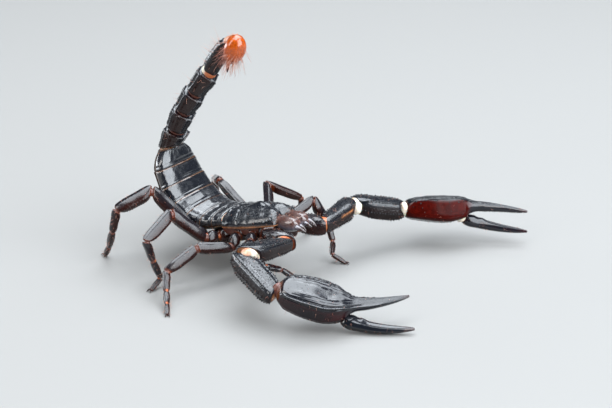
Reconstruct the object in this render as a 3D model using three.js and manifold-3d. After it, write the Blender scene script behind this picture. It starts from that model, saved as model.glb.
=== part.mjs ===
// A long-clawed forest scorpion, life size, standing still in its warning stance.
// Millimetres, +X towards the head, +Y the animal's left, +Z up, the floor at z = 0.
// Every hard plate is one solid, and neighbours meet with a thin gap where the real
// animal has a soft joint. The origin is the middle of the bounding box at floor level.
import * as THREE from 'three';
import { mergeVertices } from 'three/addons/utils/BufferGeometryUtils.js';
import Module from 'manifold-3d';

// ---------------------------------------------------------------- driving dimensions

const gap = 0.3; // between two hard plates that meet

const carapace = {
  length: 15.5,
  rearHalfWidth: 6.9,
  frontHalfWidth: 4.9,
  height: 3.9,
  notch: 1.3, // depth of the notch between the two front lobes
  slope: 12, // degrees, head up
  rearHeight: 15, // of its rear upper edge above the floor
};

// Abdomen plates from the carapace to the tail: length along the back, then how
// steeply the back climbs towards the tail, in degrees.
const abdomen = [
  { length: 2.4, climb: -18 },
  { length: 2.8, climb: -6 },
  { length: 3.2, climb: 12 },
  { length: 3.6, climb: 33 },
  { length: 3.9, climb: 49 },
  { length: 4.1, climb: 61 },
  { length: 4.4, climb: 71 },
];
const abdomenHalfWidths = [6.5, 6.9, 7.3, 7.8, 7.9, 7.7, 6.9, 3.3];
const abdomenDepths = [2.1, 2.3, 3.0, 3.7, 4.1, 4.1, 3.9, 2.6]; // side edge down to the belly
const abdomenTop = 2.3; // side edge up to the back

// Tail plates from the body to the sting: length, climb and half width.
const tail = [
  { length: 5.9, climb: 66, half: 2.95 },
  { length: 6.4, climb: 63, half: 2.85 },
  { length: 6.8, climb: 54.5, half: 2.75 },
  { length: 7.8, climb: 51, half: 2.5 },
  { length: 10.9, climb: 54, half: 2.0 },
];
const tailLean = -5; // degrees, towards the animal's right
const tailJoint = 0.62; // width of a tail plate at its ends, as a share of the middle

const eyes = { along: 8.4, apart: 0.95, below: -0.42, radius: 0.55 };
const jaw = { length: 5.2, half: 1.7 };
const underside = { below: 6.4 };
const coxae = { reach: 3.8, rise: 0.6, armLead: -2.6, armHalf: 2.1 };
const comb = {
  length: 6.6,
  width: 1.1,
  teeth: 12,
  toothLength: 1.3,
  toothWidth: 0.34,
  thickness: 0.6,
  sweep: 28, // degrees, outer end towards the rear
  below: 9.6, // under the top of the carapace
};

const sting = {
  bulb: 7.6, // length of the bulb
  half: 2.6,
  middle: [2.6, -1.2, -1.25], // of the bulb, forward, left and up from the last tail joint
  tilt: 21, // degrees that its upper end leans forward
  needle: [[-0.4, -1.5, -1.4], [-1.0, -1.5, -4.0], [-1.7, -0.6, -5.8]], // from the middle
};

// Claw arms: lengths of trochanter, femur, patella, hand and fingers.
const arm = {
  lengths: [6.4, 14.0, 14.4, 16.0],
  fixedFinger: 15.4,
  movingFinger: 17.2,
  roll: 27, // degrees that the top of the hand leans outward
};
// Sections of the arm's plates: place along, half width, height above, depth below.
const armRings = {
  trochanter: [[0, 1.6, 1.6, 1.6], [0.3, 2.3, 2.1, 2.3], [0.75, 2.4, 2.4, 2.4], [1, 1.4, 1.5, 1.5]],
  femur: [
    [0, 1.3, 1.3, 1.3], [0.12, 1.8, 1.8, 1.7], [0.5, 2.2, 2.0, 2.0],
    [0.9, 2.35, 2.1, 2.1], [1, 1.7, 1.6, 1.6],
  ],
  patella: [
    [0, 1.6, 1.5, 1.7], [0.14, 2.6, 2.3, 2.5], [0.5, 2.8, 2.5, 2.9],
    [0.88, 2.5, 2.3, 2.6], [1, 1.5, 1.4, 1.6],
  ],
};
const palmRings = [
  [0, 1.7, 1.7, 1.5],
  [0.1, 3.6, 2.9, 2.2],
  [0.3, 4.3, 3.5, 2.7],
  [0.55, 4.6, 3.8, 3.2],
  [0.8, 4.3, 3.6, 3.2],
  [1, 3.1, 2.9, 2.4],
];
const fixedFingerRings = [
  [0, 2.2, 1.6, 1.8],
  [0.3, 1.7, 1.3, 1.5],
  [0.6, 1.15, 0.95, 1.1],
  [0.85, 0.7, 0.6, 0.7],
  [1, 0.28, 0.28, 0.28],
];
const movingFingerRings = [
  [0, 0.9, 0.9, 0.9],
  [0.08, 1.5, 1.4, 1.4],
  [0.3, 1.35, 1.25, 1.35],
  [0.6, 1.05, 0.9, 1.1],
  [0.85, 0.65, 0.6, 0.7],
  [1, 0.28, 0.28, 0.28],
];
// How each arm is held: root along the carapace, out from the middle and below its top,
// yaw and pitch of each plate and of the fingers, and how far the patella sits outside
// and below the middle of the elbow.
const arms = [
  {
    side: 'right',
    root: [12.6, 4.4, 6.0],
    yaw: [16, 97, 22, -34],
    pitch: [0, 7, -15, -17],
    fixed: [-52, 4],
    moving: [-27, -6],
    elbow: [1.0, 1.2],
  },
  {
    side: 'left',
    root: [14.8, 4.6, 6.0],
    yaw: [27, 92, 52, 40],
    pitch: [0, 2.3, -12, -4],
    fixed: [32, 0],
    moving: [27, -10],
    elbow: [0, 0],
  },
];

// Legs, front pair first: lengths of trochanter, femur, patella, tibia, basitarsus
// and tarsus, half thickness of the femur, where the hip sits (along the carapace, out
// from the middle, below its top), and how far back of its inner end each coxa reaches.
const legs = [
  { lengths: [3.0, 7.4, 7.6, 4.0, 3.9, 4.2], half: 1.1, hip: [8.6, 5.8, 5.6], lead: -1.0 },
  { lengths: [3.4, 9.7, 9.2, 5.2, 4.0, 3.8], half: 1.2, hip: [4.3, 6.2, 5.6], lead: 0.6 },
  { lengths: [3.5, 11.8, 10.1, 6.0, 5.8, 4.2], half: 1.3, hip: [-1.7, 6.3, 5.8], lead: 3.4 },
  { lengths: [5.1, 13.9, 9.9, 6.0, 6.6, 4.6], half: 1.4, hip: [-5.2, 5.9, 6.5], lead: 5.8 },
];

// Sections of the leg's plates as shares of the femur's half thickness.
const femurRings = [
  [0, 0.85, 0.85, 0.85], [0.5, 1, 1.2, 1.15], [1, 0.75, 0.8, 0.8],
  [1.15, 0.85, 1.0, 1.05], [1.55, 0.9, 1.12, 1.12], [1.9, 0.85, 1.05, 1.0], [2, 0.65, 0.75, 0.75],
];
const patellaRings = [
  [0, 0.65, 0.75, 0.75], [0.12, 0.85, 1.08, 1.05], [0.5, 0.9, 1.15, 1.12],
  [0.88, 0.75, 0.95, 0.92], [1, 0.55, 0.65, 0.65],
];
const footRings = [
  [0, 0.5, 0.6, 0.6], [0.15, 0.62, 0.78, 0.76], [0.85, 0.52, 0.66, 0.64], [1, 0.45, 0.54, 0.54],
  [1.15, 0.5, 0.58, 0.56], [1.85, 0.44, 0.52, 0.5], [2, 0.38, 0.44, 0.44],
  [2.15, 0.42, 0.48, 0.48], [2.85, 0.36, 0.4, 0.44], [3, 0.3, 0.3, 0.36],
];

// How each leg is held: yaw away from straight ahead and pitch above level, in degrees,
// from the trochanter to the basitarsus; the tarsus reaches down to the floor.
const stance = [
  { leg: 1, side: 'right', yaw: [60, 72, -60, -34, -34, -30], pitch: [-8, 0, -36, -12, -34] },
  { leg: 2, side: 'right', yaw: [83, 116, 111, 54, 50, 51], pitch: [-36, 10, -25, -39, -23] },
  { leg: 3, side: 'right', yaw: [112, 122, 91, -88, -78, 92], pitch: [4, 42, -23, -70, -68] },
  { leg: 4, side: 'right', yaw: [119, 173, 124, 161, 212, 207], pitch: [38, 35, -22, -77, -57] },
  { leg: 1, side: 'left', yaw: [55, 72, 18, -24, -58, 24], pitch: [12, 20, -57, -62, -34] },
  { leg: 2, side: 'left', yaw: [114, 127, 40, 81, 85, 85], pitch: [0, 27, -24, -87, -58] },
  { leg: 3, side: 'left', yaw: [122, 168, 135, 130, 125, 120], pitch: [6, 27, -16, -64, -64] },
  { leg: 4, side: 'left', yaw: [138, 166, 150, 150, 150, 150], pitch: [10, 13, -12, -60, -24] },
];
const soleDepth = 0.08; // how much of a round tarsus tip is worn flat on the floor

// ---------------------------------------------------------------- materials

const finishes = {
  shell: { color: '#15161a', roughness: 0.3, metalness: 0 },
  oxblood: { color: '#3a0d0b', roughness: 0.32, metalness: 0 },
  sting: { color: '#c8480f', roughness: 0.3, metalness: 0 },
  jaw: { color: '#3d2730', roughness: 0.25, metalness: 0 },
  eye: { color: '#050506', roughness: 0.08, metalness: 0 },
  comb: { color: '#a8743c', roughness: 0.5, metalness: 0 },
};

// ---------------------------------------------------------------- shaping tools

const sideSign = { left: 1, right: -1 };
const { degToRad } = THREE.MathUtils;

// A unit vector from yaw (turned outward on the given side) and pitch, in degrees.
function heading(yaw, pitch, side = 1) {
  const turn = degToRad(yaw);
  const rise = degToRad(pitch);
  const flat = Math.cos(rise);
  return new THREE.Vector3(flat * Math.cos(turn), side * flat * Math.sin(turn), Math.sin(rise));
}

// The normal of the plane halfway between two directions.
function halfway(before, after) {
  return before.clone().add(after).normalize();
}

// Joints along a chain of straight segments.
function chain(start, lengths, headings) {
  const joints = [start.clone()];
  lengths.forEach((length, i) => {
    joints.push(joints[i].clone().addScaledVector(headings[i], length));
  });
  return joints;
}

// The plane normal at every joint of a chain, halfway between the segments that meet there.
function jointNormals(headings, before, after) {
  const all = [before, ...headings, after];
  return all.slice(1).map((direction, i) => halfway(all[i], direction));
}

// A closed skin of rings: the vertices of a capped cylinder, each moved to
// place(ring, angle, reach). Reach is 0 at the middle of an end face, else 1.
function closedSkin(sides, rings, place) {
  const geometry = new THREE.CylinderGeometry(1, 1, 1, sides, rings - 1);
  geometry.deleteAttribute('normal');
  geometry.deleteAttribute('uv');
  const merged = mergeVertices(geometry, 1e-5);
  const position = merged.getAttribute('position');
  for (let i = 0; i < position.count; i += 1) {
    const [across, high] = [position.getX(i), position.getZ(i)];
    const ring = Math.round((position.getY(i) + 0.5) * (rings - 1));
    const reach = Math.round(Math.hypot(across, high));
    const point = place(ring, Math.atan2(across, high), reach);
    position.setXYZ(i, point.x, point.y, point.z);
  }
  return merged;
}

// Where a section reaches at an angle, from [half width, height above, depth below].
// Squareness 2 is an ellipse, and more is boxier.
function sectionOffset(angle, reach, [half, above, below], squareness) {
  const rounded = (value) => Math.sign(value) * Math.abs(value) ** (2 / squareness);
  const high = rounded(Math.cos(angle));
  return [reach * half * rounded(Math.sin(angle)), reach * high * (high > 0 ? above : below)];
}

// Axes square to a direction of travel: right stays as near to lateral as it can.
function axesAlong(forward, lateral) {
  const right = lateral.clone().addScaledVector(forward, -lateral.dot(forward)).normalize();
  return [right, right.clone().cross(forward)];
}

// A limb of one or more straight segments. Its end faces lie on the planes through the
// first and last joint, so that limbs which share a plane meet face to face. Each ring is
// [place, half width, above, below], and place 1.5 is halfway along the second segment.
function limb({ joints, normals, lateral, rings, sides = 8, squareness = 2.4, drop = 0, aside = 0 }) {
  const last = joints.length - 1;
  const inset = (joint) => (joint === 0 ? gap / 2 : 0) - (joint === last ? gap / 2 : 0);
  return closedSkin(sides, rings.length, (ring, angle, reach) => {
    const [place, ...section] = rings[ring];
    const from = Math.min(Math.floor(place), last - 1);
    const forward = joints[from + 1].clone().sub(joints[from]).normalize();
    const [right, above] = axesAlong(forward, lateral);
    const [across, high] = sectionOffset(angle, reach, section, squareness);
    const point = joints[from].clone().addScaledVector(right, across + aside)
      .addScaledVector(above, high - drop);
    const reachPlane = (joint) => {
      const away = point.clone().sub(joints[joint]).dot(normals[joint]);
      return (inset(joint) - away) / forward.dot(normals[joint]);
    };
    const travel = THREE.MathUtils.lerp(reachPlane(from), reachPlane(from + 1), place - from);
    return point.addScaledVector(forward, travel);
  });
}

// A horn along a curve, with rings of [place along the curve, half width, above, below].
function horn({ curve, lateral, rings, sides = 8, squareness = 2.2, margin = 0 }) {
  return closedSkin(sides, rings.length, (ring, angle, reach) => {
    const [place, ...section] = rings[ring];
    const forward = curve.getTangentAt(place);
    const [right, above] = axesAlong(forward, lateral);
    const widened = section.map((size) => size + margin);
    const [across, high] = sectionOffset(angle, reach, widened, squareness);
    const past = place === 0 ? -margin : place * margin;
    const point = curve.getPointAt(place).addScaledVector(forward, past);
    return point.addScaledVector(right, across).addScaledVector(above, high);
  });
}

// ---------------------------------------------------------------- joining and cutting

const wasm = await Module();
wasm.setup();

function toSolid(geometry) {
  const plain = geometry.clone();
  plain.deleteAttribute('normal');
  plain.deleteAttribute('uv');
  const merged = mergeVertices(plain, 1e-5);
  const vertProperties = new Float32Array(merged.getAttribute('position').array);
  const triVerts = new Uint32Array(merged.getIndex().array);
  return new wasm.Manifold(new wasm.Mesh({ numProp: 3, vertProperties, triVerts }));
}

// All of the added geometries as one body, less all of the cut ones.
function carve(added, cut = []) {
  let solid = added.map(toSolid).reduce((whole, piece) => whole.add(piece));
  cut.forEach((geometry) => {
    solid = solid.subtract(toSolid(geometry));
  });
  const mesh = solid.getMesh();
  const geometry = new THREE.BufferGeometry();
  geometry.setAttribute('position', new THREE.BufferAttribute(new Float32Array(mesh.vertProperties), 3));
  geometry.setIndex(new THREE.BufferAttribute(new Uint32Array(mesh.triVerts), 1));
  return geometry;
}

// A ball or an egg, made of a sphere stretched along its own axes and set in place.
function ball(center, radius, stretch = new THREE.Vector3(1, 1, 1), tilt = 0, detail = 10) {
  const geometry = new THREE.SphereGeometry(radius, detail, Math.round(detail * 0.7));
  geometry.scale(stretch.x, stretch.y, stretch.z);
  geometry.rotateY(degToRad(tilt));
  return geometry.translate(center.x, center.y, center.z);
}

// ---------------------------------------------------------------- the model

const scorpion = new THREE.Group();

function addPart(name, geometry, finish) {
  const mesh = new THREE.Mesh(geometry, new THREE.MeshStandardMaterial(finishes[finish]));
  mesh.name = name;
  scorpion.add(mesh);
  return mesh;
}

const toLeft = new THREE.Vector3(0, 1, 0);
const toRight = toLeft.clone().negate();
const headward = heading(0, carapace.slope);
const bodyUp = headward.clone().cross(toLeft);
const bodyOrigin = new THREE.Vector3(0, 0, carapace.rearHeight);

// A point on the fore body: along it, out to the left and below the top.
function onBody(along, left, below) {
  return bodyOrigin.clone().addScaledVector(headward, along).addScaledVector(toLeft, left)
    .addScaledVector(bodyUp, -below);
}

// The back and the tail, as one chain of joints from the carapace to the sting.
const backHeadings = abdomen.map((ring) => heading(180, ring.climb));
const lean = new THREE.Vector3(1, 0, 0);
const tailHeadings = tail.map((ring) => heading(0, ring.climb).applyAxisAngle(lean, degToRad(-tailLean)));
const backJoints = chain(bodyOrigin, abdomen.map((ring) => ring.length), backHeadings);
const rearward = headward.clone().negate();
const lastBack = backHeadings[abdomen.length - 1];
const backNormals = jointNormals(backHeadings, rearward, lastBack);
const tailRoot = axesAlong(lastBack, toLeft)[1].multiplyScalar(-abdomenTop).add(backJoints[abdomen.length]);
const tailJoints = chain(tailRoot, tail.map((ring) => ring.length), tailHeadings);
const tailNormals = jointNormals(tailHeadings, lastBack, tailHeadings[tail.length - 1]);
tailNormals[0] = lastBack;

// The carapace: a low dome with a notched front, a hillock in the middle for the two
// median eyes, and a socket under each eye.
function buildCarapace() {
  const { length, rearHalfWidth: rear, frontHalfWidth: front, height, notch } = carapace;
  const brim = 0.5; // depth of the rim below the widest line
  const dome = limb({
    joints: [onBody(0, 0, 0), onBody(length, 0, 0)],
    normals: [backNormals[0].clone().negate(), headward],
    lateral: toRight,
    sides: 18,
    squareness: 2.3,
    drop: height - 0.5,
    rings: [
      [0, rear - 0.3, height - 0.5, brim],
      [0.12, rear, height - 0.3, brim],
      [0.35, rear, height, brim],
      [0.55, rear - 0.35, height, brim],
      [0.75, rear - 1.1, height - 0.3, brim],
      [0.9, front + 0.25, height - 0.8, brim],
      [1, front - 0.2, height - 1.7, brim - 0.2],
    ],
  });
  const position = dome.getAttribute('position');
  for (let i = 0; i < position.count; i += 1) {
    const point = new THREE.Vector3().fromBufferAttribute(position, i).sub(bodyOrigin);
    const share = THREE.MathUtils.smoothstep(point.dot(headward) / length, 0.75, 1);
    const middle = Math.max(0, 1 - Math.abs(point.y) / (front * 0.5));
    point.addScaledVector(headward, -notch * share * middle).add(bodyOrigin);
    position.setXYZ(i, point.x, point.y, point.z);
  }
  const hillock = ball(onBody(eyes.along, 0, 0.1), 1.25, new THREE.Vector3(1.5, 1, 0.55), -carapace.slope);
  const sockets = Object.values(sideSign).map((side) => ball(eyePlace(side), eyes.radius + gap / 2));
  addPart('carapace', carve([dome, hillock], sockets), 'shell');
}

function eyePlace(side) {
  return onBody(eyes.along, side * eyes.apart, eyes.below);
}

function buildEyes() {
  Object.entries(sideSign).forEach(([name, side]) => {
    addPart(`eye_${name}`, ball(eyePlace(side), eyes.radius), 'eye');
  });
}

// Where a leg's hip or an arm's root sits, and the direction of its short coxa.
function rootOf([along, out, below], side) {
  return onBody(along, side * out, below);
}

// The way a coxa points, from under the middle of the body out to its hip or arm root.
function coxaHeading(side, lead) {
  return new THREE.Vector3().addScaledVector(toLeft, side * coxae.reach)
    .addScaledVector(headward, -lead).addScaledVector(bodyUp, coxae.rise);
}

function coxa(root, side, half, lead, firstHeading) {
  const outward = coxaHeading(side, lead);
  const inner = root.clone().sub(outward);
  return limb({
    joints: [inner, root],
    normals: [outward.clone().normalize(), halfway(outward.clone().normalize(), firstHeading)],
    lateral: headward.clone().multiplyScalar(side),
    rings: [[0, half, half, half], [0.6, half * 1.1, half, half], [1, half * 0.8, half * 0.8, half * 0.8]],
  });
}

// The belly plate of the fore body, with the coxae of the legs and the arms grown to it.
function buildUnderside() {
  const { length } = carapace;
  const keel = limb({
    joints: [onBody(0.4, 0, underside.below), onBody(length * 0.83, 0, underside.below)],
    normals: [backNormals[0].clone().negate(), headward],
    lateral: toRight,
    squareness: 3.4,
    sides: 12,
    rings: [[0, 4.2, 1.6, 1.5], [0.5, 4.4, 1.8, 1.7], [1, 3.4, 1.6, 1.4]],
  });
  const legCoxae = stance.map(({ leg, side, yaw, pitch }) => {
    const { hip, half, lead } = legs[leg - 1];
    const sign = sideSign[side];
    return coxa(rootOf(hip, sign), sign, half, lead, heading(yaw[0], pitch[0], sign));
  });
  const armCoxae = arms.map(({ side, root, yaw, pitch }) => {
    const sign = sideSign[side];
    return coxa(rootOf(root, sign), sign, coxae.armHalf, coxae.armLead, heading(yaw[0], pitch[0], sign));
  });
  addPart('underside', carve([keel, ...legCoxae, ...armCoxae]), 'oxblood');
}

// Jaws: two blunt chelicerae under the front edge, each ending in a short hooked finger.
function buildJaws() {
  Object.entries(sideSign).forEach(([name, side]) => {
    const base = onBody(carapace.length + gap, side * 1.95, 3.1);
    const tip = onBody(carapace.length + jaw.length, side * 1.55, 4.3);
    const curve = new THREE.LineCurve3(base, tip);
    const rings = [
      [0, 1.5, 1.4, 1.3],
      [0.2, jaw.half, 1.75, 1.6],
      [0.6, jaw.half * 0.95, 1.6, 1.5],
      [0.85, 1.1, 1.05, 1.1],
      [1, 0.4, 0.4, 0.4],
    ];
    addPart(`jaw_${name}`, horn({ curve, lateral: toRight, rings, sides: 10, squareness: 2.8 }), 'jaw');
  });
}

// The abdomen: seven rings, each a tergite above and a sternite below.
function buildAbdomen() {
  abdomen.forEach((ring, i) => {
    const [start, end] = [abdomenHalfWidths[i], abdomenHalfWidths[i + 1]];
    const taper = i === abdomen.length - 1;
    const deep = (place) => THREE.MathUtils.lerp(abdomenDepths[i], abdomenDepths[i + 1], place);
    const top = (place) => abdomenTop - (taper ? place * 0.2 : 0);
    const half = (place) => (taper ? start + (end - start) * place ** 2.2 : start + (end - start) * place);
    const rings = [0, 0.15, 0.5, 0.85, 1].map((place) => {
      const lip = place === 0 || place === 1 ? 0.22 : 0;
      return [place, half(place) - lip, top(place) - lip, deep(place) - lip];
    });
    const geometry = limb({
      joints: [backJoints[i], backJoints[i + 1]],
      normals: [backNormals[i], backNormals[i + 1]],
      lateral: toLeft,
      drop: abdomenTop,
      sides: 16,
      squareness: 2.5,
      rings,
    });
    addPart(`abdomen_${i + 1}`, geometry, 'shell');
  });
}

// Combs: a pair of toothed plates under the belly, just behind the last legs.
function buildCombs() {
  const { length, width, toothLength, toothWidth, teeth, thickness } = comb;
  Object.entries(sideSign).forEach(([name, side]) => {
    const outline = new THREE.Shape();
    outline.moveTo(0, 0);
    const pitch = length / teeth;
    for (let i = 0; i < teeth; i += 1) {
      const left = i * pitch + (pitch - toothWidth) / 2;
      outline.lineTo(left, 0).lineTo(left, -toothLength);
      outline.lineTo(left + toothWidth, -toothLength).lineTo(left + toothWidth, 0);
    }
    outline.lineTo(length, 0).lineTo(length, width * 0.5).lineTo(length * 0.5, width).lineTo(0, width);
    const geometry = new THREE.ExtrudeGeometry(outline, { depth: thickness, bevelEnabled: false });
    if (side < 0) geometry.translate(0, 0, -thickness).rotateX(Math.PI);
    geometry.rotateZ(side * degToRad(90 + comb.sweep));
    const mesh = addPart(`comb_${name}`, geometry, 'comb');
    mesh.position.copy(onBody(-1.6, side * 1.2, comb.below));
  });
}

// One tail plate: waisted at both joints, widest past its middle, but the last plate
// narrows towards the sting. A margin grows it all over, past its end too.
function tailPlate(i, margin = 0) {
  const { half } = tail[i];
  const last = i === tail.length - 1;
  const heading = tailHeadings[i];
  const rings = [
    [0, tailJoint, tailJoint, tailJoint],
    [0.14, 0.9, 0.86, 0.88],
    [0.5, 1, 0.92, 0.95],
    last ? [0.84, 0.82, 0.84, 0.82] : [0.84, 0.98, 1.06, 0.98],
    [1, tailJoint, tailJoint, tailJoint],
  ];
  return limb({
    joints: [tailJoints[i], tailJoints[i + 1].clone().addScaledVector(heading, margin)],
    normals: [tailNormals[i], tailNormals[i + 1]],
    lateral: toLeft,
    squareness: 2.9,
    sides: 10,
    rings: rings.map(([place, ...sizes]) => [place, ...sizes.map((size) => size * half + margin)]),
  });
}

function buildTail() {
  tail.forEach((ring, i) => addPart(`tail_${i + 1}`, tailPlate(i), 'shell'));
}

// The sting: an egg-shaped bulb folded down in front of the last tail plate, with a
// curved needle that points down and back.
function buildSting() {
  const { bulb, half, middle, tilt, needle } = sting;
  const root = tailJoints[tail.length];
  const fromPoint = (point, offset) => point.clone().add(new THREE.Vector3(...offset));
  const center = fromPoint(root, middle);
  const egg = ball(center, half, new THREE.Vector3(1, 1, bulb / (2 * half)), tilt, 14);
  const curve = new THREE.QuadraticBezierCurve3(...needle.map((offset) => fromPoint(center, offset)));
  const rings = [
    [0, 1.3, 1.3, 1.3], [0.35, 0.85, 0.85, 0.85],
    [0.75, 0.45, 0.45, 0.45], [1, 0.25, 0.25, 0.25],
  ];
  const spike = horn({ curve, lateral: toLeft, rings });
  addPart('sting', carve([egg, spike], [tailPlate(tail.length - 1, gap)]), 'sting');
}

// An arm: trochanter, femur, patella, then the hand with its fixed finger, and the
// moving finger hinged on the hand's outer lower corner.
function buildArm({ side, root, yaw, pitch, fixed, moving, elbow }) {
  const sign = sideSign[side];
  const headings = yaw.map((turn, i) => heading(turn, pitch[i], sign));
  const joints = chain(rootOf(root, sign), arm.lengths, headings);
  const normals = jointNormals(headings, coxaHeading(sign, coxae.armLead).normalize(), headings[3]);
  const vertical = new THREE.Vector3(0, 0, 1);
  ['trochanter', 'femur', 'patella'].forEach((name, i) => {
    const geometry = limb({
      joints: [joints[i], joints[i + 1]],
      normals: [normals[i], normals[i + 1]],
      lateral: headings[i].clone().cross(vertical),
      squareness: 3,
      sides: 10,
      rings: armRings[name],
      aside: name === 'patella' ? -sign * elbow[0] : 0,
      drop: name === 'patella' ? elbow[1] : 0,
    });
    addPart(`arm_${side}_${name}`, geometry, 'shell');
  });

  const outward = vertical.clone().cross(headings[3]).multiplyScalar(sign).normalize();
  const roof = vertical.clone().multiplyScalar(Math.cos(degToRad(arm.roll)));
  roof.addScaledVector(outward, Math.sin(degToRad(arm.roll)));
  const lateral = headings[3].clone().cross(roof).normalize();
  const outerEdge = lateral.clone().multiplyScalar(-sign);
  const palm = limb({
    joints: [joints[3], joints[4]],
    normals: [normals[3], headings[3]],
    lateral,
    squareness: 3.2,
    sides: 14,
    rings: palmRings,
  });
  const fixedTip = joints[4].clone().addScaledVector(heading(...fixed, sign), arm.fixedFinger);
  const fixedRoot = joints[4].clone().addScaledVector(headings[3], -4).addScaledVector(roof, 1.2);
  const fixedBend = joints[4].clone().addScaledVector(headings[3], 4).addScaledVector(roof, 1.9);
  const fixedFinger = horn({
    curve: new THREE.QuadraticBezierCurve3(fixedRoot, fixedBend, fixedTip),
    lateral,
    rings: fixedFingerRings,
  });
  const moverRoot = joints[4].clone().addScaledVector(headings[3], -1.2).addScaledVector(roof, -1.6);
  moverRoot.addScaledVector(outerEdge, 1.7);
  const moverTip = moverRoot.clone().addScaledVector(heading(...moving, sign), arm.movingFinger);
  const moverBend = moverRoot.clone().lerp(moverTip, 0.4).addScaledVector(outerEdge, 2.2)
    .addScaledVector(roof, -0.7);
  const movingFinger = (margin) => horn({
    curve: new THREE.QuadraticBezierCurve3(moverRoot, moverBend, moverTip),
    lateral,
    rings: movingFingerRings,
    margin,
  });
  addPart(`arm_${side}_hand`, carve([palm, fixedFinger], [movingFinger(gap)]), 'shell');
  addPart(`arm_${side}_finger`, movingFinger(0), 'shell');
}

// How steeply, in degrees, a tarsus drops from its ankle so that its tip is worn flat.
function fallToFloor(ankleHeight, length, tipDepth) {
  let fall = 0;
  for (let pass = 0; pass < 8; pass += 1) {
    fall = Math.asin((ankleHeight - tipDepth * Math.cos(fall) + soleDepth) / (length - gap / 2));
  }
  return THREE.MathUtils.radToDeg(fall);
}

// A leg: trochanter with femur, then the patella, then the foot of tibia and two-part tarsus.
function buildLeg({ leg, side, yaw, pitch }) {
  const { lengths, half, hip, lead } = legs[leg - 1];
  const sign = sideSign[side];
  const start = rootOf(hip, sign);
  const upper = pitch.map((rise, i) => heading(yaw[i], rise, sign));
  const ankle = chain(start, lengths.slice(0, 5), upper)[5];
  const fall = fallToFloor(ankle.z, lengths[5], footRings[footRings.length - 1][3] * half);
  const headings = [...upper, heading(yaw[5], -fall, sign)];
  const joints = chain(start, lengths, headings);
  const normals = jointNormals(headings, coxaHeading(sign, lead).normalize(), headings[5]);
  const lateral = heading(yaw[1], 0, sign).cross(new THREE.Vector3(0, 0, 1));
  const thick = (rows) => rows.map(([place, ...sizes]) => [place, ...sizes.map((size) => size * half)]);
  const build = (name, first, last, rows, finish) => {
    const geometry = limb({
      joints: joints.slice(first, last + 1),
      normals: normals.slice(first, last + 1),
      lateral,
      rings: thick(rows),
    });
    const position = geometry.getAttribute('position');
    for (let i = 0; i < position.count; i += 1) position.setZ(i, Math.max(position.getZ(i), 0));
    addPart(`leg_${leg}_${side}_${name}`, geometry, finish);
  };
  build('femur', 0, 2, femurRings, 'shell');
  build('patella', 2, 3, patellaRings, 'shell');
  build('foot', 3, 6, footRings, 'oxblood');
}

buildCarapace();
buildEyes();
buildUnderside();
buildJaws();
buildAbdomen();
buildCombs();
buildTail();
buildSting();
arms.forEach(buildArm);
stance.forEach(buildLeg);

// Stand the whole animal over the origin.
const box = new THREE.Box3().setFromObject(scorpion);
scorpion.position.set(-(box.min.x + box.max.x) / 2, -(box.min.y + box.max.y) / 2, -box.min.z);

export default scorpion;
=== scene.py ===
import bpy
import numpy as np
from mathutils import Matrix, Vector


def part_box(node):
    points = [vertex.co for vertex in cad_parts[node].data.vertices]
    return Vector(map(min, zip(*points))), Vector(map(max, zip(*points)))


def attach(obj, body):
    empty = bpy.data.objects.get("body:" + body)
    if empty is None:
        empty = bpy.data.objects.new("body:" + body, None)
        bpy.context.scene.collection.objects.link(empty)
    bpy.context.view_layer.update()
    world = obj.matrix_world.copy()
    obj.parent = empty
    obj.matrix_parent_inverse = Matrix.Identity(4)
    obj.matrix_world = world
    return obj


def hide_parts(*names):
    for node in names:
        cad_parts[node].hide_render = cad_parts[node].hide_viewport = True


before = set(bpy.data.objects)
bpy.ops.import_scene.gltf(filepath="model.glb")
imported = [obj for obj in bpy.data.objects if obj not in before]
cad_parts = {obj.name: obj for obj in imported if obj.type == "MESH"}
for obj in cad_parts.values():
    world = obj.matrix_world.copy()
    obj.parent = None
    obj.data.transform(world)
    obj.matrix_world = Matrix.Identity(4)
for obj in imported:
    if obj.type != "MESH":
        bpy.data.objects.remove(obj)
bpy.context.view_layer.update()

# A long-clawed forest scorpion, life size, standing still in its warning stance. Shapes are worked
# out in millimetres in the animal's own frame: +X to the head, +Y its left, +Z up, the floor at
# zero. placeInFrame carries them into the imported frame, in metres.
random = np.random.default_rng(11)
up = np.array([0.0, 0.0, 1.0])
toLeft = np.array([0.0, 1.0, 0.0])
sides = {"right": -1, "left": 1}
jointGap = 0.22  # between two plates that meet


# Directions, angles and profiles

def unit(vector):
    # the vector over its own length
    return vector / np.linalg.norm(vector, axis=-1, keepdims=True)


def heading(yaw, pitch, side=1):
    # (cos p cos y, side cos p sin y, sin p)
    turn, rise = np.radians(yaw), np.radians(pitch)
    return np.array([np.cos(rise) * np.cos(turn), side * np.cos(rise) * np.sin(turn), np.sin(rise)])


def axesAlong(forward, lateral):
    # right is lateral made square to forward, above is right x forward
    right = unit(lateral - forward * np.sum(forward * lateral, axis=-1, keepdims=True))
    return right, np.cross(right, forward)


def chain(start, lengths, headings):
    # each joint is the one before plus its length times its heading
    steps = np.array(lengths)[:, None] * np.array(headings)
    return np.vstack([start, start + np.cumsum(steps, axis=0)])


def jointNormals(headings, before, after):
    # the plane through each joint halves its bend: unit(heading before + heading after)
    every = [before, *headings, after]
    return [unit(one + two) for one, two in zip(every[:-1], every[1:])]


def smooth(low, high, value):
    # 3x^2 - 2x^3 between low and high
    x = np.clip((value - low) / (high - low), 0, 1)
    return x * x * (3 - 2 * x)


def bell(value, centre, width):
    # exp(-((v - c) / w)^2)
    return np.exp(-(((value - centre) / width) ** 2))


def ringAngles(count):
    # even steps round a ring, from its top
    return np.linspace(0, 2 * np.pi, count, endpoint=False)


def turnGap(angle, centre):
    # signed smallest turn from centre to angle, in degrees
    return (np.degrees(angle) - centre + 180) % 360 - 180


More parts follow.
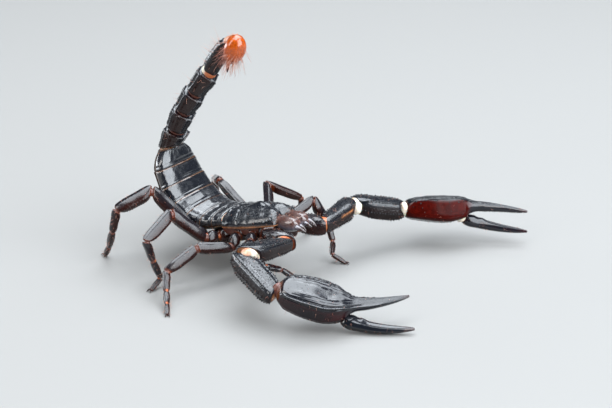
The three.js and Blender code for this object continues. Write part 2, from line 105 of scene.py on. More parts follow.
def offTop(angles):
    # how far round from the top of its ring each angle is, in degrees
    return np.abs(turnGap(angles, 0))


def underField(angles, low=60, high=120):
    # nought over the back and one below, as a row over the angles
    return smooth(low, high, offTop(angles))[None, :]


def profile(rows, places):
    # cubic Hermite curve through rows of [place, size, size, ...]
    rows = np.array(rows, float)
    x, y = rows[:, 0], rows[:, 1:]
    slope = np.gradient(y, x, axis=0)
    k = np.clip(np.searchsorted(x, places, side="right") - 1, 0, len(x) - 2)
    width = (x[k + 1] - x[k])[:, None]
    t = ((places - x[k])[:, None]) / width
    blendA, blendB = 2 * t**3 - 3 * t**2 + 1, -2 * t**3 + 3 * t**2
    leanA, leanB = t**3 - 2 * t**2 + t, t**3 - t**2
    return blendA * y[k] + blendB * y[k + 1] + width * (leanA * slope[k] + leanB * slope[k + 1])


def sharesOf(rows, half):
    # rows of [place, share, share, ...] with each share made a size
    return [[place, *(share * half for share in row)] for place, *row in rows]


def roundSizes(girth):
    # the same half width, height and depth at each place
    return np.stack([girth] * 3, axis=-1)


def spread(count, ease=0.75):
    # places from 0 to 1 that crowd towards both ends
    even = np.linspace(0, 1, count)
    return even * (1 - ease) + ease * (1 - np.cos(np.pi * even)) / 2


def roundEnds(places, near, far):
    # (1 - (1 - d/e)^2.4)^(1/2.4): nought at each end, one past the share e
    nearShare = np.clip(places / near, 0, 1)
    farShare = np.clip((1 - places) / far, 0, 1)
    return ((1 - (1 - nearShare) ** 2.4) * (1 - (1 - farShare) ** 2.4)) ** (1 / 2.4)


# Surfaces, each a grid of points over a place along it and an angle round it

def section(angle, half, above, below, square):
    # x = half sgn(sin q)|sin q|^(2/n), y = height sgn(cos q)|cos q|^(2/n), q from the top
    swing, rise = np.sin(angle), np.cos(angle)
    across = half * np.sign(swing) * np.abs(swing) ** (2 / square)
    high = np.where(rise > 0, above, below) * np.sign(rise) * np.abs(rise) ** (2 / square)
    return across, high


def swell(x, y, push, tuck):
    # each point moved out from the middle of its ring by push, and the ring scaled by its tuck
    share = (1 + push / (np.hypot(x, y) + 1e-9)) * np.reshape(tuck, (-1, 1))
    return x * share, y * share


def planeReach(point, span, gap):
    # the slide along the limb to the plane through each joint: (g - (P - J) . n) / (forward . n)
    start, end, normalA, normalB, _ = span
    forward = unit(end - start)
    reachA = (gap / 2 - (point - start) @ normalA) / (forward @ normalA)
    reachB = (-gap / 2 - (point - end) @ normalB) / (forward @ normalB)
    return reachA, reachB


def limbSurface(span, rows, places, angles, square, drop, aside, push, tuck, openings):
    # point = joint + (x + aside) right + (y - drop) above, slid along the limb so that place 0
    # and 1 lie on the planes through its two joints; an opening (end, direction, depth) draws
    # that end back by depth (outward . direction)^2
    start, end, *_, lateral = span
    forward = unit(end - start)
    right, above = axesAlong(forward, lateral)
    half, high, low = profile(rows, places).T[:, :, None]
    x, y = swell(*section(angles[None, :], half, high, low, square), push, tuck)
    point = start + (x + aside)[..., None] * right + (y - drop)[..., None] * above
    reachA, reachB = planeReach(point, span, jointGap)
    outward = unit(x[..., None] * right + y[..., None] * above + 1e-9)
    for which, direction, depth in openings:
        back = depth * np.clip(outward @ direction, 0, 1) ** 2
        if which == "start":
            reachA = reachA + back
        else:
            reachB = reachB - back
    return point + (reachA + (reachB - reachA) * places[:, None])[..., None] * forward


def tubeSurface(path, lateral, sizes, angles, square=2.2, push=0.0, tuck=1.0):
    # a section carried along a path: P(t) + x(t, q) right + y(t, q) above
    forward = unit(np.gradient(path, axis=0))
    right, above = axesAlong(forward, lateral)
    half, high, low = sizes.T[:, :, None]
    x, y = swell(*section(angles[None, :], half, high, low, square), push, tuck)
    return path[:, None] + x[..., None] * right[:, None] + y[..., None] * above[:, None]


def curvePoints(corners, places):
    # quadratic Bezier curve: (1-t)^2 A + 2t(1-t) B + t^2 C
    t = places[:, None]
    return (1 - t) ** 2 * corners[0] + 2 * t * (1 - t) * corners[1] + t**2 * corners[2]


def alongCurve(corners, places):
    # the curve's point at each share of its length
    fine = np.linspace(0, 1, 400)
    points = curvePoints(corners, fine)
    run = np.concatenate([[0], np.cumsum(np.linalg.norm(np.diff(points, axis=0), axis=1))])
    return curvePoints(corners, np.interp(places, run / run[-1], fine))


def wrapNormals(grid):
    # cross product of the two directions of the grid, which wraps round its columns
    alongGrid = np.gradient(grid, axis=0)
    roundGrid = np.roll(grid, -1, axis=1) - np.roll(grid, 1, axis=1)
    normal = np.cross(roundGrid, alongGrid)
    normal = normal / np.maximum(np.linalg.norm(normal, axis=2, keepdims=True), 1e-9)
    outward = grid - grid.mean(axis=1, keepdims=True)
    return normal * np.where((normal * outward).sum(axis=2).mean() < 0, -1, 1)


# Closed parts, several of which are joined into one piece

def partOf(vertices, faces, **fields):
    # a bare mesh: vertices, a list of face arrays, and a value for each vertex of each field
    values = {"under": 0.0, "joint": 0.0, "grain": 0.0, "tip": 0.0, **fields}
    for name, value in values.items():
        if np.ndim(value) < 2:
            values[name] = np.broadcast_to(np.asarray(value, float), (len(vertices),))
    return {"vertices": vertices, "faces": faces, "fields": values}


def withPoles(value):
    # the rings between the first and the last, then the middle of the first and of the last
    inner = value[1:-1].reshape(-1, *value.shape[2:])
    return np.concatenate([inner, [value[0].mean(axis=0), value[-1].mean(axis=0)]])


def closedPart(grid, flow=None, **fields):
    # rings joined into a skin, its first and last ring each drawn together into one pole
    rings, around = grid.shape[:2]
    i, j = np.meshgrid(np.arange(rings - 3), np.arange(around), indexing="ij")
    here, beside = i * around + j, i * around + (j + 1) % around
    quads = np.stack([here, beside, beside + around, here + around], axis=-1).reshape(-1, 4)
    ring = np.arange(around)
    nextRing = (ring + 1) % around
    last, pole = (rings - 3) * around, (rings - 2) * around
    fanA = np.stack([np.full(around, pole), nextRing, ring], axis=-1)
    fanB = np.stack([np.full(around, pole + 1), last + ring, last + nextRing], axis=-1)
    fields = {name: withPoles(np.broadcast_to(value, (rings, around))) for name, value in fields.items()}
    fields["flow"] = withPoles(grid if flow is None else flow)
    return outwardPart(partOf(withPoles(grid), [quads, fanA, fanB], **fields))


def outwardPart(part):
    # the sum of a . (b x c) over its triangles; where it is negative every face is turned over
    volume = 0.0
    vertices = part["vertices"] - part["vertices"].mean(axis=0)
    for faces in part["faces"]:
        a = vertices[faces[:, 0]]
        for k in range(1, faces.shape[1] - 1):
            volume += np.sum(a * np.cross(vertices[faces[:, k]], vertices[faces[:, k + 1]]))
    if volume < 0:
        part["faces"] = [faces[:, ::-1] for faces in part["faces"]]
    return part


def slabPart(outer, inner, flow=None, **fields):
    # two open sheets of the same rows and columns, stitched round all four edges
    rows, columns = outer.shape[:2]
    count = rows * columns
    index = np.arange(count).reshape(rows, columns)
    here = index[:-1, :-1].ravel()
    sheet = np.stack([here, here + 1, here + columns + 1, here + columns], axis=-1)
    edge = np.concatenate([index[0], index[1:, -1], index[-1, -2::-1], index[-2:0:-1, 0]])
    nextEdge = np.roll(edge, -1)
    rim = np.stack([edge, edge + count, nextEdge + count, nextEdge], axis=-1)
    fields = {name: np.tile(np.broadcast_to(value, (rows, columns)).ravel(), 2)
              for name, value in fields.items()}
    fields["flow"] = np.vstack([(outer if flow is None else flow).reshape(-1, 3)] * 2)
    vertices = np.vstack([outer.reshape(-1, 3), inner.reshape(-1, 3)])
    return outwardPart(partOf(vertices, [sheet, sheet[:, ::-1] + count, rim], **fields))


def ball(centre, radius, axis, stretch=1.0, around=28, rings=18, **fields):
    # centre + r (sin q cos f right + sin q sin f other + stretch cos q axis)
    q, f = np.linspace(0, np.pi, rings)[:, None], ringAngles(around)[None, :]
    right = unit(np.cross(axis, np.array([0.3, 0.5, 0.8])))
    other = np.cross(axis, right)
    grid = centre + radius * ((np.sin(q) * np.cos(f))[..., None] * right
                              + (np.sin(q) * np.sin(f))[..., None] * other
                              + (stretch * np.cos(q) + 0 * f)[..., None] * axis)
    return closedPart(grid, **fields)


def beadParts(places, normals, radii, heights, **fields):
    # one low closed dome for each place: rings of radius 1 and 0.62 at height 0 and 0.72
    around = 6
    turn = ringAngles(around)
    ring = np.stack([np.cos(turn), np.sin(turn)], axis=-1)
    low = np.column_stack([ring, np.zeros(around)])
    high = np.column_stack([ring * 0.62, np.full(around, 0.72)])
    shape = np.vstack([low, high, [0, 0, 1], [0, 0, -0.5]])
    across = unit(np.cross(normals, np.array([0.31, 0.52, 0.79])))
    forward = np.cross(normals, across)
    vertices = (places[:, None] + shape[None, :, :1] * (radii[:, None] * across)[:, None]
                + shape[None, :, 1:2] * (radii[:, None] * forward)[:, None]
                + shape[None, :, 2:] * (heights[:, None] * normals)[:, None]).reshape(-1, 3)
    k = np.arange(around)
    after = (k + 1) % around
    quads = np.stack([k, after, after + around, k + around], axis=-1)
    top = np.stack([k + around, after + around, np.full(around, 2 * around)], axis=-1)
    bottom = np.stack([after, k, np.full(around, 2 * around + 1)], axis=-1)
    offset = (np.arange(len(places)) * len(shape))[:, None, None]
    faces = [(one[None] + offset).reshape(-1, one.shape[1]) for one in (quads, top, bottom)]
    fields = {name: np.repeat(np.broadcast_to(value, (len(places),)), len(shape))
              for name, value in fields.items()}
    return partOf(vertices, faces, flow=vertices, **fields)


def scatter(grid, weight, count):
    # random places on a wrapped grid, as likely in a cell as its area times its weight
    beside = np.roll(grid, -1, axis=1)
    across, rise = (beside - grid)[:-1], grid[1:] - grid[:-1]
    area = np.linalg.norm(np.cross(across, rise), axis=2)
    chance = (area * np.broadcast_to(weight, grid.shape[:2])[:-1]).ravel()
    cell = random.choice(chance.size, count, p=chance / chance.sum())
    i, j = np.unravel_index(cell, area.shape)
    s, t = random.random((2, count, 1))
    place = grid[i, j] + s * across[i, j] + t * rise[i, j]
    return place, wrapNormals(grid)[i, j], i + t[:, 0], j + s[:, 0]


def grainsOn(grid, weight, count, radius, height, power=2):
    # low grains strewn by weight: radius a + b r^power and height c + d s, with r and s random
    spots, normals, *_ = scatter(grid, weight, count)
    radii = radius[0] + radius[1] * random.random(count) ** power
    return beadParts(spots, normals, radii, height[0] + height[1] * random.random(count))


def beadRow(grid, degrees, spacing, radius, height, low, high, **fields):
    # beads a spacing apart along the grid's column at one angle, from place low to high
    column = int(round(degrees % 360 / 360 * grid.shape[1])) % grid.shape[1]
    line = grid[:, column]
    run = np.concatenate([[0], np.cumsum(np.linalg.norm(np.diff(line, axis=0), axis=1))])
    stops = np.arange(run[-1] * low, run[-1] * high, spacing)
    place = np.stack([np.interp(stops, run, line[:, k]) for k in range(3)], axis=-1)
    normals = wrapNormals(grid)[:, column]
    normal = unit(np.stack([np.interp(stops, run, normals[:, k]) for k in range(3)], axis=-1))
    size = 0.75 + 0.5 * random.random(len(stops))
    return beadParts(place, normal, radius * size, height * size, **fields)


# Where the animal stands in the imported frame, and how parts become a piece

foreBody = {
    "length": 15.5,
    "slope": 12,  # degrees, head up
    "rearHeight": 15,  # of its rear upper edge above the floor
}
eyes = {
    "along": 8.4,
    "apart": 0.95,
    "below": -0.42,
    "radius": 0.55,
    "smallEyes": 3,  # on each side of the front edge
}
headward = heading(0, foreBody["slope"])
bodyUp = np.cross(headward, toLeft)


def onBody(along, left, below):
    # along the fore body from its rear edge, out to the left and below its top
    start = np.array([0, 0, foreBody["rearHeight"]])
    along, left, below = (np.asarray(value, float)[..., None] for value in (along, left, below))
    return start + along * headward + left * toLeft - below * bodyUp


eyeLow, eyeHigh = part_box("eye_left")
eyePlace = onBody(eyes["along"], eyes["apart"], eyes["below"])
frameShift = np.array((eyeLow + eyeHigh) / 2) * 1000 - eyePlace


def placeInFrame(points):
    # (point + frameShift) / 1000, which is in metres
    return (points + frameShift) / 1000


def joinParts(parts):
    # one array of vertices, one of triangles, one of quads and one for each field
    base, vertices, faces = 0, [], {3: [], 4: []}
    for part in parts:
        vertices.append(part["vertices"])
        for one in part["faces"]:
            faces[one.shape[1]].append(one + base)
        base += len(part["vertices"])
    names = parts[0]["fields"].keys()
    fields = {name: np.concatenate([part["fields"][name] for part in parts]) for name in names}
    joined = {size: np.vstack(found) for size, found in faces.items() if found}
    return np.vstack(vertices), joined, fields


def addPiece(name, parts, finish, replaces=()):
    # one mesh object from closed parts, with its fields as attributes for the materials
    vertices, faces, fields = joinParts(parts)
    corners = np.concatenate([one.ravel() for one in faces.values()])
    sizes = np.concatenate([np.full(len(one), size) for size, one in faces.items()])
    mesh = bpy.data.meshes.new(name)
    mesh.vertices.add(len(vertices))
    mesh.vertices.foreach_set("co", placeInFrame(vertices).astype(np.float32).ravel())
    mesh.loops.add(len(corners))
    mesh.loops.foreach_set("vertex_index", corners.astype(np.int32))
    mesh.polygons.add(len(sizes))
    mesh.polygons.foreach_set("loop_start", (np.cumsum(sizes) - sizes).astype(np.int32))
    mesh.update(calc_edges=True)
    mesh.polygons.foreach_set("use_smooth", np.ones(len(sizes), bool))
    for field, values in fields.items():
        if field == "flow":
            layer = mesh.attributes.new(field, "FLOAT_VECTOR", "POINT")
            layer.data.foreach_set("vector", (values / 1000).astype(np.float32).ravel())
        elif field == "root":
            layer = mesh.uv_layers.new(name="OFBake")
            layer.data.foreach_set("uv", values[corners].astype(np.float32).ravel())
        else:
            layer = mesh.attributes.new(field, "FLOAT", "POINT")
            layer.data.foreach_set("value", values.astype(np.float32))
    mesh.materials.append(finish)
    piece = bpy.data.objects.new(name, mesh)
    bpy.context.scene.collection.objects.link(piece)
    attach(piece, "root")
    if replaces:
        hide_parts(*replaces)


# Materials

tones = {
    "back": (0.004, 0.005, 0.008, 1),
    "flank": (0.006, 0.002, 0.002, 1),
    "joint": (0.16, 0.050, 0.015, 1),
    "armJoint": (0.34, 0.13, 0.045, 1),
    "hem": (0.12, 0.052, 0.020, 1),
    "tailFlank": (0.009, 0.0015, 0.001, 1),
    "legBack": (0.009, 0.007, 0.009, 1),
    "legFlank": (0.014, 0.003, 0.002, 1),
    "legJoint": (0.15, 0.030, 0.008, 1),
    "handFlank": (0.033, 0.0016, 0.0008, 1),
    "sting": (0.30, 0.048, 0.001, 1),
    "stingFlank": (0.24, 0.034, 0.001, 1),
    "stingTip": (0.020, 0.006, 0.005, 1),
    "jaw": (0.085, 0.078, 0.098, 1),
    "jawFlank": (0.052, 0.021, 0.017, 1),
    "cream": (0.60, 0.53, 0.42, 1),
    "amber": (0.34, 0.085, 0.015, 1),
    "ruddy": (0.075, 0.014, 0.006, 1),
    "comb": (0.45, 0.28, 0.12, 1),
    "hair": (0.30, 0.09, 0.06, 1),
    "paleHair": (0.55, 0.30, 0.22, 1),
}
patterns = {  # cells of each pattern in a metre
    "cloud": 420,
    "speck": 2600,
    "cobble": 2300,
    "pits": 3200,
    "waves": 700,
    "wear": 900,
    "patch": 500,
    "sheen": 1500,
    "folds": 1800,
    "strands": 300,
}


def newGroup(name, inputs, outputs):
    # inputs are (name, kind, value) and outputs (name, kind)
    group = bpy.data.node_groups.new(name, "ShaderNodeTree")
    for socket, kind, value in inputs:
        made = group.interface.new_socket(name=socket, in_out="INPUT", socket_type=kind)
        made.default_value = value
    for socket, kind in outputs:
        group.interface.new_socket(name=socket, in_out="OUTPUT", socket_type=kind)
    return group, group.nodes.new("NodeGroupInput").outputs, group.nodes.new("NodeGroupOutput").inputs


def connect(tree, sockets, values):
    # a number or colour is set on its socket, and another node's output is linked to it
    for socket, value in zip(sockets, values):
        if isinstance(value, bpy.types.NodeSocket):
            tree.links.new(value, socket)
        else:
            socket.default_value = value


def attribute(tree, name):
    node = tree.nodes.new("ShaderNodeAttribute")
    node.attribute_name = name
    return node.outputs["Vector"] if name == "flow" else node.outputs["Fac"]


def noise(tree, pattern, detail):
    # noise over the flow attribute, at the pattern's scale
    node = tree.nodes.new("ShaderNodeTexNoise")
    node.inputs["Scale"].default_value = patterns[pattern]
    node.inputs["Detail"].default_value = detail
    tree.links.new(attribute(tree, "flow"), node.inputs["Vector"])
    return node.outputs["Fac"]


def arithmetic(tree, operation, first, second):
    node = tree.nodes.new("ShaderNodeMath")
    node.operation = operation
    connect(tree, node.inputs, (first, second))
    return node.outputs["Value"]


def mapTo(tree, value, low, high, newLow, newHigh):
    # low to newLow and high to newHigh, eased
    node = tree.nodes.new("ShaderNodeMapRange")
    node.interpolation_type = "SMOOTHSTEP"
    names = ("Value", "From Min", "From Max", "To Min", "To Max")
    connect(tree, [node.inputs[name] for name in names], (value, low, high, newLow, newHigh))
    return node.outputs["Result"]


def blendColors(tree, share, first, second):
    node = tree.nodes.new("ShaderNodeMix")
    node.data_type = "RGBA"
    connect(tree, [node.inputs[name] for name in ("Factor", "A", "B")], (share, first, second))
    return node.outputs["Result"]


def makeChitinTone():
    # back colour to flank colour down the side, cloudy, and joint colour at the ends
    group, given, made = newGroup("chitinTone", [
        ("Back", "NodeSocketColor", tones["back"]),
        ("Flank", "NodeSocketColor", tones["flank"]),
        ("Joint", "NodeSocketColor", tones["joint"]),
        ("Tip", "NodeSocketColor", tones["flank"]),
    ], [("Color", "NodeSocketColor")])
    cloud = noise(group, "cloud", 4)
    drift = arithmetic(group, "MULTIPLY", arithmetic(group, "SUBTRACT", cloud, 0.5), 0.9)
    lowness = arithmetic(group, "ADD", attribute(group, "under"), drift)
    color = blendColors(group, mapTo(group, lowness, 0.15, 0.95, 0, 1), given["Back"], given["Flank"])
    patchy = mapTo(group, cloud, 0.3, 0.6, 0.6, 1)
    ends = arithmetic(group, "MULTIPLY", attribute(group, "joint"), patchy)
    color = blendColors(group, ends, color, given["Joint"])
    color = blendColors(group, attribute(group, "tip"), color, given["Tip"])
    speckled = group.nodes.new("ShaderNodeVectorMath")
    speckled.operation = "SCALE"
    speck = mapTo(group, noise(group, "speck", 3), 0.35, 0.65, 0.75, 1.25)
    connect(group, (speckled.inputs[0], speckled.inputs["Scale"]), (color, speck))
    group.links.new(speckled.outputs["Vector"], made["Color"])
    return group


def makeShellRelief():
    # fine pits everywhere and a cobble of small grains where the shell is granular
    group, given, made = newGroup("shellRelief", [
        ("Pits", "NodeSocketFloat", 0.3),
        ("Grains", "NodeSocketFloat", 1.0),
    ], [("Height", "NodeSocketFloat")])
    cells = group.nodes.new("ShaderNodeTexVoronoi")
    cells.inputs["Scale"].default_value = patterns["cobble"]
    group.links.new(attribute(group, "flow"), cells.inputs["Vector"])
    cobble = mapTo(group, cells.outputs["Distance"], 0.05, 0.6, 1, 0)
    cobble = arithmetic(group, "MULTIPLY", cobble, given["Grains"])
    height = arithmetic(group, "MULTIPLY", cobble, attribute(group, "grain"))
    for pattern, detail in (("pits", 4), ("waves", 2)):
        dents = arithmetic(group, "MULTIPLY", noise(group, pattern, detail), given["Pits"])
        height = arithmetic(group, "ADD", height, dents)
    group.links.new(height, made["Height"])
    return group


def makeShellGloss():
    # roughness wanders by a third with slow noise, and the varnish thins over the flank
    group, given, made = newGroup("shellGloss", [
        ("Roughness", "NodeSocketFloat", 0.25),
        ("Varnish", "NodeSocketFloat", 0.6),
        ("FlankLoss", "NodeSocketFloat", 0.0),
    ], [("Roughness", "NodeSocketFloat"), ("Varnish", "NodeSocketFloat")])
    worn = mapTo(group, noise(group, "wear", 4), 0.3, 0.7, 0.75, 1.35)
    lost = arithmetic(group, "MULTIPLY", attribute(group, "under"), given["FlankLoss"])
    kept = arithmetic(group, "SUBTRACT", 1.0, lost)
    group.links.new(arithmetic(group, "MULTIPLY", worn, given["Roughness"]), made["Roughness"])
    group.links.new(arithmetic(group, "MULTIPLY", kept, given["Varnish"]), made["Varnish"])
    return group


def makeSkinFolds():
    # pale skin, deeper where it is thin, in fine folds
    group, given, made = newGroup("skinFolds", [
        ("Pale", "NodeSocketColor", tones["cream"]),
        ("Deep", "NodeSocketColor", tones["amber"]),
    ], [("Color", "NodeSocketColor"), ("Roughness", "NodeSocketFloat"), ("Height", "NodeSocketFloat")])
    drift = arithmetic(group, "SUBTRACT", noise(group, "patch", 3), 0.5)
    patch = arithmetic(group, "ADD", attribute(group, "under"), drift)
    color = blendColors(group, mapTo(group, patch, 0.2, 0.8, 0, 1), given["Pale"], given["Deep"])
    group.links.new(color, made["Color"])
    group.links.new(mapTo(group, noise(group, "sheen", 3), 0.3, 0.7, 0.28, 0.5), made["Roughness"])
    group.links.new(noise(group, "folds", 4), made["Height"])
    return group


toneGroup, reliefGroup, glossGroup, skinGroup = (
    makeChitinTone(), makeShellRelief(), makeShellGloss(), makeSkinFolds())


def newMaterial(name, settings):
    # settings are values of the shader's own sockets
    material = bpy.data.materials.new(name)
    material.use_nodes = True
    shader = material.node_tree.nodes["Principled BSDF"]
    for socket, value in settings.items():
        shader.inputs[socket].default_value = value
    return material, material.node_tree, shader


def useGroup(tree, group, **settings):
    node = tree.nodes.new("ShaderNodeGroup")
    node.node_tree = group
    for socket, value in settings.items():
        node.inputs[socket].default_value = value
    return node.outputs


def addBump(tree, shader, height, distance):
    bump = tree.nodes.new("ShaderNodeBump")
    bump.inputs["Distance"].default_value = distance
    bump.inputs["Strength"].default_value = 1.0
    tree.links.new(height, bump.inputs["Height"])
    tree.links.new(bump.outputs["Normal"], shader.inputs["Normal"])


def chitinMaterial(name, colors, roughness, varnish, flankLoss=0.0, pits=0.1, grains=0.5,
                   relief=0.00012, settings=None):
    # colors are the tones of back, flank, joint and tip
    material, tree, shader = newMaterial(name, settings or {})
    back, flank, joint, tip = (tones[color] for color in colors)
    tone = useGroup(tree, toneGroup, Back=back, Flank=flank, Joint=joint, Tip=tip)
    gloss = useGroup(tree, glossGroup, Roughness=roughness, Varnish=varnish, FlankLoss=flankLoss)
    tree.links.new(tone["Color"], shader.inputs["Base Color"])
    tree.links.new(gloss["Roughness"], shader.inputs["Roughness"])
    tree.links.new(gloss["Varnish"], shader.inputs["Coat Weight"])
    addBump(tree, shader, useGroup(tree, reliefGroup, Pits=pits, Grains=grains)["Height"], relief)
    return material


def skinMaterial(name, pale, deep):
    # soft skin that lets a little light in
    material, tree, shader = newMaterial(name, {
        "Subsurface Weight": 0.25, "Subsurface Scale": 0.0008, "Coat Weight": 0.25, "Coat Roughness": 0.25})
    folds = useGroup(tree, skinGroup, Pale=tones[pale], Deep=tones[deep])
    tree.links.new(folds["Color"], shader.inputs["Base Color"])
    tree.links.new(folds["Roughness"], shader.inputs["Roughness"])
    addBump(tree, shader, folds["Height"], 0.00015)
    return material


def hairMaterial(name):
    # reddish hairs, paler here and there
    material, tree, shader = newMaterial(name, {"Roughness": 0.35})
    share = mapTo(tree, noise(tree, "strands", 2), 0.3, 0.7, 0, 1)
    color = blendColors(tree, share, tones["hair"], tones["paleHair"])
    tree.links.new(color, shader.inputs["Base Color"])
    return material


chitins = {
    "shell": {"colors": ("back", "flank", "armJoint", "flank"), "roughness": 0.25, "varnish": 0.65,
              "flankLoss": 0.5, "pits": 0.12, "grains": 0.8,
              "settings": {"Coat Roughness": 0.11, "Specular IOR Level": 0.35}},
    "armShell": {"colors": ("back", "flank", "armJoint", "flank"), "roughness": 0.22, "varnish": 0.7,
                 "flankLoss": 0.85, "pits": 0.05, "grains": 0.35,
                 "settings": {"Coat Roughness": 0.09, "Specular IOR Level": 0.18}},
    "backShell": {"colors": ("back", "flank", "hem", "flank"), "roughness": 0.24, "varnish": 0.8,
                  "pits": 0.05, "grains": 0.3, "relief": 0.00007,
                  "settings": {"Coat Roughness": 0.14, "Specular IOR Level": 0.45}},
    "tailShell": {"colors": ("back", "tailFlank", "joint", "tailFlank"), "roughness": 0.22,
                  "varnish": 0.6, "flankLoss": 0.6, "pits": 0.15, "grains": 0.7,
                  "settings": {"Coat Roughness": 0.09, "Specular IOR Level": 0.25}},
    "armour": {"colors": ("back", "handFlank", "joint", "handFlank"), "roughness": 0.3,
               "varnish": 1.0, "flankLoss": 0.95, "pits": 0.08, "grains": 0.4,
               "settings": {"Coat Roughness": 0.13, "Coat IOR": 1.56, "Specular IOR Level": 0.02}},
    "legShell": {"colors": ("legBack", "legFlank", "legJoint", "legFlank"), "roughness": 0.24,
                 "varnish": 0.65, "flankLoss": 0.75, "pits": 0.08, "grains": 0.5,
                 "settings": {"Coat Roughness": 0.1, "Specular IOR Level": 0.22}},
    "stingSkin": {"colors": ("sting", "stingFlank", "joint", "stingTip"), "roughness": 0.26,
                  "varnish": 1.0, "pits": 0.2, "grains": 1.0,
                  "settings": {"Coat Roughness": 0.06, "Specular IOR Level": 0.15,
                               "Subsurface Weight": 0.05, "Subsurface Scale": 0.001}},
    "jawShell": {"colors": ("jaw", "jawFlank", "joint", "stingTip"), "roughness": 0.3,
                 "varnish": 1.0, "pits": 0.1, "grains": 1.0, "settings": {"Coat Roughness": 0.14}},
    "eyeGlass": {"colors": ("back", "back", "back", "back"), "roughness": 0.08, "varnish": 1.0,
                 "pits": 0.05, "grains": 0.0, "settings": {"Coat Roughness": 0.03}},
    "combHorn": {"colors": ("comb", "amber", "cream", "amber"), "roughness": 0.4, "varnish": 0.2,
                 "pits": 0.3, "grains": 0.0},
}
finishes = {name: chitinMaterial(name, **values) for name, values in chitins.items()}
finishes["membrane"] = skinMaterial("membrane", "cream", "amber")
finishes["thinSkin"] = skinMaterial("thinSkin", "amber", "ruddy")
finishes["hair"] = hairMaterial("hair")
print("materials made")


# Plates of limbs and the soft skin between them

def ridges(angles, places, keels):
    # height (1 - w + w |cos(pi n p)|) exp(-(turn / width)^2), summed over the keels
    lift = np.zeros((len(places), len(angles)))
    for keel in keels:
        near, far = keel.get("span", (0.06, 0.95))
        fade = smooth(near - 0.05, near + 0.05, places) * (1 - smooth(far - 0.04, far + 0.04, places))
        beads = keel.get("beads", 0)
        waviness = keel.get("waviness", 0.5) if beads else 0.0
        wave = 1 - waviness + waviness * np.abs(np.cos(np.pi * beads * places))
        across = bell(turnGap(angles, keel["angle"]), 0, keel["width"])
        lift += (keel["height"] * fade * wave)[:, None] * across[None, :]
    return lift


def plate(span, rows, keels=(), square=2.4, count=72, around=72, ends=(0.05, 0.05), drop=0.0,
          aside=0.0, grain=0.0, jointTint=0.1, tint=0.0, push=0.0, under=None, openings=()):
    # a limb segment: its ring sizes with its keels, on limbSurface, its ends rounded and tinted
    places, angles = spread(count), ringAngles(around)
    push = push + ridges(angles, places, keels)
    grid = limbSurface(span, rows, places, angles, square, drop, aside, push,
                       roundEnds(places, *ends), openings)
    endTint = 0.9 * (1 - smooth(0, jointTint, places) + smooth(1 - jointTint, 1, places))
    under = underField(angles) if under is None else under
    part = closedPart(grid, under=under, joint=np.maximum(endTint[:, None], tint), grain=grain)
    return part, grid


def hinge(joint, before, after, lateral, size, reach, bulge, tint):
    # soft skin between two plates: a tube round the bend, swollen on its inner side by
    # bulge (outward . inner)^1.3 sin(pi place), and folded by 0.05 cos(10 pi place)
    inner = unit(after - before + 1e-6)
    corners = np.array([joint - reach * before, joint + 0.12 * reach * (before - after),
                        joint + reach * after])
    places = np.linspace(0, 1, 22)
    path = curvePoints(corners, places)
    sizes = np.maximum(roundSizes(size * roundEnds(places, 0.3, 0.3)), 0.02)
    grid = tubeSurface(path, lateral, sizes, ringAngles(40))
    outward = unit(grid - path[:, None])
    facing = np.clip(outward @ inner, 0, 1)
    arch = np.sin(np.pi * places)[:, None]
    folds = 0.05 * np.cos(10 * np.pi * places)[:, None] * arch
    grid = grid + (bulge * facing**1.3 * arch)[..., None] * inner + folds[..., None] * outward
    return closedPart(grid, under=tint + (0.5 - facing))


# The shield over the fore body, its eyes and the jaws

shield = {
    # place, half width, height and brim of each ring
    "rows": [[0, 6.6, 3.4, 0.5], [0.12, 6.9, 3.6, 0.5], [0.35, 6.9, 3.9, 0.5], [0.55, 6.55, 3.9, 0.5],
             [0.75, 5.8, 3.6, 0.5], [0.9, 5.15, 3.1, 0.5], [1, 4.7, 2.2, 0.3]],
    "notch": 1.3,  # depth between the two front lobes
    "grains": 1700,
    "grainRadius": (0.06, 0.07),
    "grainHeight": (0.04, 0.06),
}


